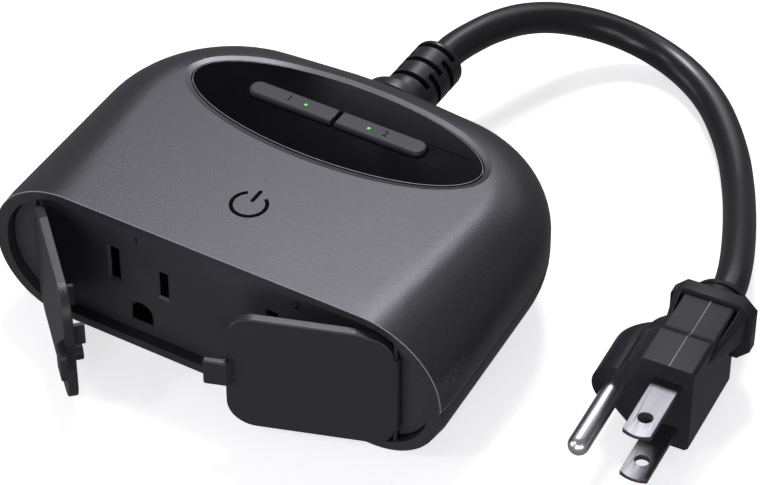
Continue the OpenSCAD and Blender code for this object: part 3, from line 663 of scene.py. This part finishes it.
def polar_loop(loop, centre, distance):
    """A closed outline's points in the directions of the loop's points."""
    angles = np.arctan2(loop[:, 1] - PANEL_Y, loop[:, 0])
    return np.array([
        (centre[0] + distance(t) * math.cos(t), centre[1] + distance(t) * math.sin(t))
        for t in angles
    ])


def oval_distance(a, b):
    return lambda t: a * b / math.hypot(b * math.cos(t), a * math.sin(t))


def bar_distance(grow):
    """Polar form of the button bar's outline."""
    radius = BAR_W / 2 + grow
    straight = BAR_L / 2 + grow - radius

    def distance(t):
        c, s = abs(math.cos(t)), abs(math.sin(t))
        if s > 1e-9 and radius * c / s <= straight:
            return radius / s
        return straight * c + math.sqrt(max(radius ** 2 - (straight * s) ** 2, 0))

    return distance


def at_height(loop, z):
    return np.column_stack([loop[:, :2], np.full(len(loop), float(z))])


def shell_surfaces(up):
    """A shell's outer and inner rows, its rim and seam faces, and the loops its rows end in."""
    outer, inner = side_rows(up, 0), inner_side_rows(up)
    outer[0, :, :2] -= SPINE_WAY * SEAM_CHAMFER
    both = [(outer, front_edge(up, False)), (inner, front_edge(up, True))]
    front = [np.vstack([rows[-1, -1][None], edge, rows[-1, 0][None]]) for rows, edge in both]
    pairs = [(outer[0], inner[0]), (outer[:, 0], inner[:, 0]), (outer[:, -1], inner[:, -1]), front]
    faces = [(np.array(pair), False) for pair in pairs]
    return outer, inner, faces, [np.vstack([rows[-1], edge]) for rows, edge in both]


def bead(name, path, radius, closed=False):
    """A fine raised pale grey line along a path of points: a painted highlight."""
    path = np.array(path, float)
    ahead, behind = np.roll(path, -1, axis=0), np.roll(path, 1, axis=0)
    if not closed:
        ahead[-1], behind[0] = path[-1], path[0]
    along = ahead - behind
    along /= np.linalg.norm(along, axis=1, keepdims=True)
    first = np.cross(along, [0.2, 0.9, 0.37])
    first /= np.linalg.norm(first, axis=1, keepdims=True)
    second = np.cross(along, first)
    rings = np.array([
        path + radius * (math.cos(t) * first + math.sin(t) * second)
        for t in np.linspace(0, 2 * np.pi, 8, endpoint=False)
    ]).transpose(1, 0, 2)
    if closed:
        rings = np.vstack([rings, rings[:1]])
    caps = [] if closed else [rings[0], rings[-1]]
    line = patches_object(name, [(rings, True)], caps=caps)
    return finish_piece(line, HIGHLIGHT_GREY, angle=60)


def make_edge_lines(outer):
    """Painted highlights: fine pale lines on the rim's outer edge and along the seam, where those
    edges catch light.
    """
    front = front_edge(1, False)
    edge = np.vstack([outer[1:, 0], front[::-1], outer[:0:-1, -1]])
    middle = np.column_stack([
        np.clip(edge[:, 0], -SPINE_X, SPINE_X), edge[:, 1], np.full(len(edge), PARTING_Z)
    ])
    inwards = middle - edge
    inwards /= np.linalg.norm(inwards, axis=1, keepdims=True)
    bead("rim_painted_highlight", edge + 0.06 * inwards + [0, 0.06, 0], 0.12)
    bead("seam_painted_highlight", outer[0], 0.14)


def make_top_shell():
    outer, inner, faces, (loop, inner_loop) = shell_surfaces(1)
    oval_xy = polar_loop(loop, (0, PANEL_Y), oval_distance(PANEL_A + TRIM_W, PANEL_B + TRIM_W))
    window_xy = polar_loop(loop, (0, BAR_Y), bar_distance(WINDOW_GAP))
    top = ring_rows(loop, oval_xy, 1, 0, 14)
    floor_z = HEIGHT - PANEL_T
    under = ring_rows(inner_loop, window_xy, 1, WALL, 10)
    step, window = at_height(oval_xy, floor_z), at_height(window_xy, floor_z)
    floor = np.array([top[-1], step, window, under[-1]])
    shell = patches_object("top_cover_shell", [
        (outer, False), (inner, False), (top, True), (under, True), (floor, True), *faces,
    ])
    finish_piece(shell, SHELL, nodes=["top_shell"], bevel=0.2, angle=48)
    make_edge_lines(outer)


def make_bottom_shell():
    outer, inner, faces, (loop, inner_loop) = shell_surfaces(-1)
    centre_xy = polar_loop(loop, (0, PANEL_Y - 22), oval_distance(20, 12))
    base = ring_rows(loop, centre_xy, -1, 0, 8)
    under = ring_rows(inner_loop, centre_xy, -1, WALL, 8)
    shell = patches_object("base_shell", [
        (outer, False), (inner, False), (base, True), (under, True), *faces,
    ], caps=[base[-1], under[-1]])
    finish_piece(shell, SHELL_LOWER, nodes=["bottom_shell"], bevel=0.2, angle=48)


# ---- outlets and covers ----

def ground_outline(x, grow=0.0):
    radius, foot = GROUND_R + grow, GROUND_Z - GROUND_FLAT - grow
    return arc(x, GROUND_Z, radius, radius, 0, 180, 20) + [(x - radius, foot), (x + radius, foot)]


def slot_outline(x, side, grow=0.0):
    left = x + side * BLADE_DX - SLOT_W / 2 - grow
    right = left + SLOT_W + 2 * grow
    low, top = SLOT_Z - grow, SLOT_Z + SLOT_H[side] + grow
    return [(left, low), (right, low), (right, top), (left, top)]


def plate_outline(side, low, top):
    """The rim's outline, drawn in by a margin at the sides, below and on top."""
    (ux, uz, ua, ub), (lx, lz, la, lb) = RIM_ARCS
    right = arc(lx, lz, la - side, lb - low, -90, 0, 24)
    right += arc(ux, uz, ua - side, ub - top, 0, 90, 24)
    return right + [(-x, z) for x, z in reversed(right)]


def plate_holes(grow):
    holes = [ground_outline(x, grow) for x in OUTLETS]
    return holes + [slot_outline(x, side, grow) for x in OUTLETS for side in (-1, 1)]


def closed_tube(outer, inner, near, step, far):
    """Rows round the wall between two outlines; its inner face starts at the depth step."""
    around = ((outer, near), (inner, step), (inner, far), (outer, far), (outer, near))
    return np.array([[(x, y, z) for x, z in loop] for loop, y in around])


def sloped_frames():
    """The sunk bevels round the outlets' holes, from the plate's face down to the holes."""
    near, step, far = PLATE_Y, PLATE_Y + FRAME_W, PLATE_Y + PLATE_T
    return patches_object("frames", [
        (closed_tube(wide, narrow, near, step, far), True)
        for wide, narrow in zip(plate_holes(FRAME_W), plate_holes(0))
    ])


def make_linings():
    """Painted shade: near-black linings laid on the walls of the holes behind their sunk bevels, so
    the throats read dark.
    """
    near, far = PLATE_Y + FRAME_W + 0.03, PLATE_Y + PLATE_T
    for number, (outline, inner) in enumerate(zip(plate_holes(-0.02), plate_holes(-0.1))):
        rows = closed_tube(outline, inner, near, near, far)
        throat = patches_object(f"outlet_hole_shade_{number + 1}", [(rows, True)])
        finish_piece(throat, PRINT_AND_SHADE_BLACK, angle=30)


def make_outlet_plate():
    outline = plate_outline(3.35, 2.55, 2.65)
    points, faces = extruded([outline] + plate_holes(FRAME_W), PLATE_Y, PLATE_Y + PLATE_T, 0.05, 1)
    plate = mesh_object("outlet_face", place(facing_front(points)), faces)
    combined(plate, sloped_frames(), "UNION")
    finish_piece(plate, PLATE, nodes=["outlet_plate"], angle=25)


def cover_outline():
    free_x = COVER_EDGE_X - COVER_L
    low, top = COVER_Z
    corners = [(HINGE[0], low), (HINGE[0], 31.9), (37, top), (free_x, top), (free_x, low)]
    return rounded(corners, [5, 5.6, 4, 6.5, 6.5], 12)


def tab_outline():
    """The pull tab from above: it steps out from the cover's face and runs past its edge."""
    free_x = COVER_EDGE_X - COVER_L
    out = COVER_Y - 1.9
    corners = [
        (free_x + 2.8, COVER_Y + 0.4), (free_x + 2.2, COVER_Y - 0.05), (free_x + 0.7, out),
        (free_x - 4.5, out), (free_x - 4.5, out + 1.7), (free_x - 0.4, out + 1.7),
        (free_x + 0.4, COVER_Y + 1.2), (free_x + 2.8, COVER_Y + 1.2),
    ]
    return rounded(corners, [0, 0.3, 0.5, 0.6, 0.4, 0.5, 0, 0], 5)


def settle(piece, side):
    """Turns a closed cover's mesh to its open place, in metres."""
    move_points(piece, lambda points: place(swung(points, side)))
    if side == "left":
        piece.data.flip_normals()
    piece.data.update()


def make_cover(side):
    """One cover: a plate, knuckle and pull tab in one, with a bore for the hinge pin."""
    node = "cover_" + side
    points, faces = extruded([cover_outline()], COVER_Y, COVER_Y + COVER_T, 0.3)
    cover = mesh_object("swing_" + node, facing_front(points), faces)
    low, top = KNUCKLE_Z
    barrel = [(low, 0), (low, 0.95), (low + 0.15, 1.1), (top - 0.15, 1.1), (top, 0.95), (top, 0)]
    combined(cover, grid_object("knuckle", upright(barrel, *HINGE)), "UNION")
    points, faces = extruded([tab_outline()], *TAB_Z, 0.35)
    combined(cover, mesh_object("tab", points, faces), "UNION")
    bore = upright([(0, 0), (0, HINGE_BORE_R), (35, HINGE_BORE_R), (35, 0)], *HINGE, 24)
    combined(cover, grid_object("bore", bore), "DIFFERENCE")
    settle(cover, side)
    finish_piece(cover, COVER, node, [node], angle=32)


def make_cover_pad(side):
    """The rubber prongs that plug a closed outlet."""
    inside = COVER_Y + COVER_T
    x = OUTLETS[1]
    node = "cover_plug_" + side
    prongs = []
    for middle in (x - BLADE_DX, x + BLADE_DX):
        left, right = middle - 0.6, middle + 0.6
        corners = [(left, 16.4), (right, 16.4), (right, 22), (left, 22)]
        prongs.append(rounded(corners, [0.3] * 4, 4))
    prongs.append(arc(x, GROUND_Z, 1.9, 1.9, 0, 351, 39))
    for number, outline in enumerate(prongs):
        points, faces = extruded([outline], inside, inside + 3, 0.28)
        prong = mesh_object(f"{node}_prong_{number + 1}", facing_front(points), faces)
        settle(prong, side)
        finish_piece(prong, COVER_PAD, "cover_" + side, [node], angle=40)


# ---- controls ----

def oval_around(grow, steps=160):
    """The panel's outline, grown by a margin."""
    a, b = PANEL_A + grow, PANEL_B + grow
    return np.array(arc(0, PANEL_Y, a, b, 0, 360 - 360 / steps, steps - 1))


def make_trim():
    """A narrow ring whose top slopes from the housing's surface in to the panel's groove."""
    base = HEIGHT - PANEL_T + 0.02
    outer, lip, inner = (oval_around(grow) for grow in (TRIM_W - 0.04, 0.45, 0.3))
    rows = np.array([
        at_height(outer, base), level(outer, 1, 0.06), level(lip, 1, 0.42), level(inner, 1, 0.6),
        at_height(inner, base), at_height(outer, base),
    ])
    trim = patches_object("panel_ring", [(rows, True)])
    finish_piece(trim, TRIM, nodes=["panel_trim"], angle=35)


def bar_end(grow, steps):
    """The button bar's right end round (0, 0), grown by a margin."""
    radius = BAR_W / 2 + grow
    return arc((BAR_L - BAR_W) / 2, 0, radius, radius, -90, 90, steps)


def bar_outline(side):
    """Half of the button bar, seen from above, with its round end at that side."""
    half = [(BAR_GAP, -BAR_W / 2), *bar_end(0, 20), (BAR_GAP, BAR_W / 2)]
    return [(side * x, BAR_Y + y) for x, y in half]


def window_outline(grow):
    """The opening in the panel round both buttons."""
    right = bar_end(grow, 24)
    return [(x, BAR_Y + y) for x, y in right] + [(-x, BAR_Y - y) for x, y in right]


def make_panel():
    loops = [oval_around(0), window_outline(WINDOW_GAP)]
    points, faces = extruded(loops, HEIGHT - PANEL_T, HEIGHT - 0.3, 0.12)
    panel = mesh_object("control_face", place(points), faces)
    finish_piece(panel, PANEL, nodes=["control_panel"], angle=50)
    # Painted highlight: a pale line round the panel's polished edge
    bead("panel_painted_highlight", at_height(oval_around(-0.03), HEIGHT - 0.36), 0.09, True)


def make_button(number, side):
    points, faces = extruded([bar_outline(side)], 32.2, BAR_TOP - 0.03, 0.55, 5)
    cap = mesh_object(f"button_cap_{number}", points, faces)
    well = upright([(34, 0), (34, LED_R), (40, LED_R), (40, 0)], side * LED_X, BAR_Y)
    combined(cap, grid_object("well", well), "DIFFERENCE")
    move_points(cap, place)
    node = f"button_{number}"
    finish_piece(cap, BUTTON, node, [node], angle=40)
    dome = [(34.1, 0), (34.1, 0.46), (36.85, 0.46), (37.0, 0.38), (37.08, 0.2), (37.09, 0)]
    lens_rows = upright(dome, side * LED_X, BAR_Y)
    lens = patches_object(f"indicator_lens_{number}", [(lens_rows, True)])
    finish_piece(lens, GREEN_LAMP, node, [f"indicator_{number}"], angle=50)


def make_digit(name, text, size, centre, across, up, body):
    """A thin raised numeral, centred, with its own x along across and its top along up."""
    curve = bpy.data.curves.new(name, "FONT")
    curve.body = text
    curve.size = size
    curve.align_x = "CENTER"
    curve.align_y = "CENTER"
    curve.extrude = 0.03
    flat, faces = curve_mesh(curve)
    out = np.cross(across, up)
    points = np.array(centre) + flat[:, :1] * across + flat[:, 1:2] * up + flat[:, 2:] * out
    digit = mesh_object(name, place(points), faces)
    finish_piece(digit, PRINT_AND_SHADE_BLACK, body, angle=30)


def make_digits():
    """Plain numbers on the buttons and above the outlets."""
    right, back, up = np.eye(3)
    for number, side in ((1, -1), (2, 1)):
        place_on = (side * 12.5, BAR_Y, BAR_TOP - 0.03)
        name = f"button_numeral_{number}"
        make_digit(name, str(number), 2.6, place_on, right, back, f"button_{number}")
        place_on = (OUTLETS[number - 1], PLATE_Y, 29.5)
        make_digit(f"outlet_numeral_{number}", str(number), 3, place_on, right, up, HOUSING)


def make_power_mark():
    """A generic on/off sign on the top: an open ring and a bar."""
    x, y, outer, inner = -1.5, 18.5, 4.4, 3.5
    ring = arc(x, y, outer, outer, 125, 415, 48) + arc(x, y, inner, inner, 415, 125, 48)
    left, right, low, top = x - 0.45, x + 0.45, y + 1, y + 5.2
    bar = rounded([(left, low), (right, low), (right, top), (left, top)], [0.4] * 4, 4)
    for name, outline in (("power_ring", ring), ("power_bar", bar)):
        points, faces = extruded([outline], HEIGHT - 0.2, HEIGHT + 0.06, 0.03, 1)
        mark = mesh_object(name, place(points), faces)
        finish_piece(mark, PRINT_AND_SHADE_BLACK, angle=40)


# ---- lead ----

def make_strain_relief():
    """A flanged sleeve with short grooves, by turns above and below, then at the sides."""
    edge, depth, half, reach = 0.04, 1.6, 0.75, 54      # a groove's bevel, depth and half-angle
    grooves = [(85.7, 0), (88.7, 90), (91.7, 0), (94.7, 90), (97.7, 0)]
    profile = [
        (70.8, 0), (70.8, 6.8), (71, 7), (72.6, 7), (72.8, 6.8), (72.8, 5.2), (79.2, 5.2), (79.1, 6.4),
        (78, 7.9), (77.1, 8.5), (77, 8.7), (77.15, 8.9), (77.4, 9), (79.6, 9), (79.85, 8.9),
        (80, 8.65), (80, 6.8), (80.1, 6.5), (80.4, RELIEF_R), (84, RELIEF_R),
    ]
    rows = [(y, r, None) for y, r in profile]
    for y, turn in grooves:
        for away in (-half - edge, -half, half, half + edge):
            rows.append((y + away, RELIEF_R, turn if abs(away) <= half else None))
    rows += [(y, r, None) for y, r in (
        (99.1, RELIEF_R), (99.5, 6.28), (99.8, 6.05), (99.95, 5.7), (100, 5.3), (100, 0)
    )]
    marks = [(middle + side * reach) % 360 for middle in (0, 90, 180, 270) for side in (-1, 1)]
    angles = sorted(
        [a for a in range(0, 360, 4) if min(abs(a - m) for m in marks) > 1.2]
        + [m + s for m in marks for s in (-0.4, 0.4)]
    )
    grid = []
    for y, radius, turn in rows:
        ring = []
        for a in angles:
            r = radius
            if turn is not None:
                away = abs((a - turn + 90) % 180 - 90)
                r = radius - depth if away < reach else radius
            ring.append((r * math.sin(math.radians(a)), y, CORD_Z + r * math.cos(math.radians(a))))
        grid.append(ring)
    relief = patches_object("lead_relief", [(np.array(grid), True)])
    finish_piece(relief, RELIEF, nodes=["strain_relief"], bevel=0.12, angle=40)


def make_cord(with_pieces):
    """The lead: one smooth curve through the CAD's own route."""
    curve = bpy.data.curves.new("mains_lead", "CURVE")
    curve.dimensions = "3D"
    curve.bevel_depth = CORD_D / 2 * MM
    curve.bevel_resolution = 12
    curve.resolution_u = 12
    curve.use_fill_caps = True
    route = place(CORD_ROUTE)
    spline = curve.splines.new("BEZIER")
    spline.bezier_points.add(len(route) - 1)
    last = len(route) - 1
    for i, knot in enumerate(spline.bezier_points):
        slope = (route[min(i + 1, last)] - route[max(i - 1, 0)]) / 2
        knot.co = route[i]
        knot.handle_left = route[i] - slope / 3
        knot.handle_right = route[i] + slope / 3
    cord = linked("mains_lead", curve)
    curve.materials.append(LEAD)
    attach(cord, HOUSING)
    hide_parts("power_cord")


# ---- mains plug ----

def plug_outline():
    """The body's front outline, anticlockwise from its lower right corner."""
    h = BODY_H / 2
    shoulder = [
        (LOBE_Y * t + -BODY_LEFT * (1 - t), h * (1 - t) + LOBE_R * t + 0.9 * math.sin(math.pi * t))
        for t in np.linspace(0.15, 0.9, 6)
    ]
    return [
        (BODY_RIGHT, -h + 0.8), (BODY_RIGHT, 0), (BODY_RIGHT, h - 1.6), (BODY_RIGHT, h - 0.8),
        (BODY_RIGHT - 0.3, h - 0.2), (BODY_RIGHT - 0.8, h), (0, h), (-BODY_LEFT, h), *shoulder,
        *arc(LOBE_Y, 0, LOBE_R, LOBE_R, 90, 270, 24), (-BODY_LEFT - 1, -h + 1.2),
        (-BODY_LEFT + 1, -h), (BODY_RIGHT - 0.8, -h),
    ]


def smooth_step(t):
    """A soft rise from 0 to 1 as t goes from 0 to 1."""
    t = min(max(t, 0), 1)
    return t * t * (3 - 2 * t)


def plug_section(x):
    """The outline at a distance -x behind the face: the lobe ends, and the top steps down."""
    behind = (-x - LOBE_L) / LOBE_R
    spread_out = 1 if behind <= 0 else math.sqrt(max(1 - behind * behind, 0))
    drop = RECESS * smooth_step((-x - BLOCK_L) / 2.2)
    section = []
    for y, z in plug_outline():
        if y < -BODY_LEFT:
            y = -BODY_LEFT + spread_out * (y + BODY_LEFT)
        section.append((x, y, min(z, z - drop * smooth_step((z - 8) / 2))))
    return section


def make_plug_body():
    stations = [0, -3, -6, -BLOCK_L + 0.4, -BLOCK_L, -11, -11.6, -12.2]
    stations += [-LOBE_L - LOBE_R * math.sin(math.radians(a)) for a in range(0, 91, 6)]
    stations += [-20, -22, -BODY_L]
    rows = at_plug([plug_section(x) for x in stations])
    body = patches_object("plug_moulding", [(rows, True)], caps=[rows[0], rows[-1]])
    finish_piece(body, PLUG, nodes=["plug_body"], bevel=0.35, angle=32)
    return body


def gusset(name, points):
    """A wedge between the plug's body and its collar."""
    mesh = bpy.data.meshes.new(name)
    work = bmesh.new()
    for p in place(at_plug(points)):
        work.verts.new(p)
    bmesh.ops.convex_hull(work, input=work.verts)
    bmesh.ops.dissolve_limit(work, angle_limit=0.02, verts=work.verts, edges=work.edges)
    bmesh.ops.recalc_face_normals(work, faces=work.faces)
    work.to_mesh(mesh)
    work.free()
    return finish_piece(linked(name, mesh), PLUG, bevel=0.25, angle=20)


def make_gussets():
    top = ENTRY_Z + COLLAR_H / 2
    back = -BODY_L - 0.5
    return [
        gusset(f"plug_gusset_{name}", [
            (-8, side * (edge - 0.3), 8.2), (-8, side * edge, 7.4), (-14, side * (edge + 0.3), 3),
            (back, side * (edge + 1), top - 0.3), (back, side * (edge + 2.9), top - 2.3),
            (back, side * (edge + 2.9), top - 9), (back, side * (edge - 0.3), top - 9.5),
        ])
        for name, edge, side in (("right", BODY_RIGHT, 1), ("left", BODY_LEFT, -1))
    ]


def make_mould_line():
    """The thin parting line along the middle of the plug's top."""
    behind = -BODY_L - 0.2
    low = BODY_H / 2 - RECESS
    top = [(0, BODY_H / 2), (-BLOCK_L, BODY_H / 2), (-BLOCK_L - 2.2, low), (behind, low)]
    rows = at_plug([
        [(x, -0.11, z - 0.2), (x, -0.11, z + 0.05), (x, 0.11, z + 0.05), (x, 0.11, z - 0.2)]
        for x, z in top
    ])
    line = patches_object("plug_mould_line", [(rows, True)], caps=[rows[0], rows[-1]])
    return finish_piece(line, FLASH, angle=40)


def make_collar():
    w, h = COLLAR_W / 2, COLLAR_H / 2
    cut = COLLAR_CUT
    octagon = [
        (w, -h + cut), (w, h - cut), (w - cut, h), (cut - w, h),
        (-w, h - cut), (-w, cut - h), (cut - w, -h), (w - cut, -h),
    ]
    points, faces = extruded([octagon], -BODY_L - COLLAR_T, -BODY_L, 0.35)
    points = points[:, [2, 0, 1]] + [0, 0, ENTRY_Z]
    collar = mesh_object("plug_collar_plate", place(at_plug(points)), faces)
    finish_piece(collar, PLUG, nodes=["plug_collar"], angle=50)
    start = -BODY_L - COLLAR_T + 0.2
    end = -BODY_L - COLLAR_T - ENTRY_L
    r = ENTRY_R
    profile = [
        (start, 0), (start, r), (start - 1.7, r), (start - 1.95, r - 0.25), (start - 1.95, r - 1.1),
        (start - 2.65, r - 1.1), (start - 2.65, r - 0.5), (start - 2.85, r - 0.3), (end + 1, r - 0.3),
        (end + 0.4, r - 0.6), (end + 0.08, r - 1.3), (end, r - 2.2), (end, 0),
    ]
    rings = at_plug(turned(profile, 72) + [0, 0, ENTRY_Z])
    entry = patches_object("plug_entry_ring", [(rings, True)])
    finish_piece(entry, PLUG, angle=40)
    return [collar, entry]


def make_blade(name, z):
    """A flat blade with a hole and a bowed, thinned tip."""
    half = BLADE_W / 2
    tip = [(BLADE_L - 0.9 * (y / half) ** 2, y) for y in np.linspace(-half, half, 13)]
    outline = [(-SEAT, -half), *tip, (-SEAT, half)]
    hole = arc(BLADE_HOLE_X, 0, BLADE_HOLE_R, BLADE_HOLE_R, 0, 351, 39)
    points, faces = extruded([outline, hole], z - BLADE_T / 2, z + BLADE_T / 2, 0.14, 2)
    away = np.clip((points[:, 0] - (BLADE_L - 2)) / 2, 0, 1)
    points[:, 2] = z + (points[:, 2] - z) * (1 - 0.45 * away ** 2)
    blade = mesh_object(name, place(at_plug(points)), faces)
    return finish_piece(blade, NICKEL, nodes=[name.replace("_strip", "")], angle=40)


def make_ground_pin():
    profile = [(-SEAT, 0), (-SEAT, 1.8), (-0.3, 1.8), (-0.3, PIN_R), (PIN_L - PIN_R, PIN_R)]
    profile += [
        (PIN_L - PIN_R + PIN_R * math.sin(t), PIN_R * math.cos(t))
        for t in np.radians(np.arange(9, 90, 9))
    ]
    profile.append((PIN_L, 0))
    rings = at_plug(turned(profile) + [0, -PIN_OFFSET, 0])
    pin = patches_object("ground_pin_rod", [(rings, True)])
    return finish_piece(pin, CHROME, nodes=["ground_pin"], angle=50)


def make_plug():
    """The plug's pieces, which go with the lead."""
    return [
        make_plug_body(), make_mould_line(), *make_gussets(), *make_collar(),
        make_blade("hot_blade_strip", BLADE_SEP / 2),
        make_blade("neutral_blade_strip", -BLADE_SEP / 2),
        make_ground_pin(),
    ]


# ---- CAD nodes that stay ----

def paint(material, *names):
    for name in names:
        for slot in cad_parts[name].material_slots:
            slot.material = material


def paint_kept_nodes():
    paint(SEAL, "shell_gasket", "button_seal")
    paint(STEEL, "case_screws", "clamp_screws", "board_screws", "switch_board_screws")
    paint(DARK_PART, "hinge_pin_left", "hinge_pin_right")
    paint(BRASS, "hot_contact_1", "hot_contact_2", "neutral_bus", "ground_bus")
    paint(BOARD, "main_board", "switch_board", "wifi_module", "terminal_block")
    paint(COMPONENT, "relay_1", "relay_2", "capacitors", "varistor")
    paint(DARK_PART, "tact_switches", "transformer", "lead_sheath", "contact_carrier")
    paint(CARRIER, "cord_clamp", "fuse", "plunger_1", "plunger_2")
    paint(moulded("wire_black", (0.012, 0.012, 0.012)), "hot_lead")
    paint(moulded("wire_white", (0.7, 0.7, 0.68), speckle=0.05), "neutral_lead")
    paint(moulded("wire_green", (0.03, 0.25, 0.08)), "ground_lead")


# ---- stage and light ----

def make_floor():
    """A pale floor that glows a little, so that it stays near white."""
    mesh = bpy.data.meshes.new("floor")
    corners = [(x * FLOOR_HALF, y * FLOOR_HALF, 0) for x, y in ((-1, -1), (1, -1), (1, 1), (-1, 1))]
    mesh.from_pydata(corners, [], [(0, 1, 2, 3)])
    floor = linked("floor", mesh)
    material, tree, shader = new_material("floor_pale")
    vary_colour(tree, shader, noise(tree, 3, 1), (1, 1, 1), 0.78, 0.8)
    shader.inputs["Roughness"].default_value = 0.9
    shader.inputs["Specular IOR Level"].default_value = 0.1
    shader.inputs["Emission Color"].default_value = (1, 1, 1, 1)
    shader.inputs["Emission Strength"].default_value = FLOOR_GLOW
    mesh.materials.append(material)
    floor.visible_glossy = False
    floor.visible_diffuse = False


def softbox(name, azimuth, elevation, size, radiance):
    """A soft rectangular light aimed at the object."""
    data = bpy.data.lights.new(name, "AREA")
    data.shape = "RECTANGLE"
    data.size, data.size_y = size
    data.energy = radiance * math.pi * size[0] * size[1]
    data.color = LIGHT_COLOUR
    aim(linked(name, data), (0, 0, 0.03), azimuth, elevation, LIGHT_DISTANCE)


def make_light():
    world = bpy.data.worlds.new("studio")
    world.use_nodes = True
    shade = world.node_tree.nodes["Background"]
    shade.inputs["Color"].default_value = WORLD_COLOUR
    shade.inputs["Strength"].default_value = WORLD_STRENGTH
    bpy.context.scene.world = world
    bpy.context.scene.view_settings.view_transform = "Standard"
    for name, setting in LIGHTS.items():
        softbox(name, *setting)


make_camera()
make_cord(make_plug())
make_strain_relief()
make_top_shell()
make_bottom_shell()
make_outlet_plate()
make_linings()
for cover_side in OPEN:
    make_cover(cover_side)
    make_cover_pad(cover_side)
make_trim()
make_panel()
make_button(1, -1)
make_button(2, 1)
make_digits()
make_power_mark()
paint_kept_nodes()
make_floor()
make_light()
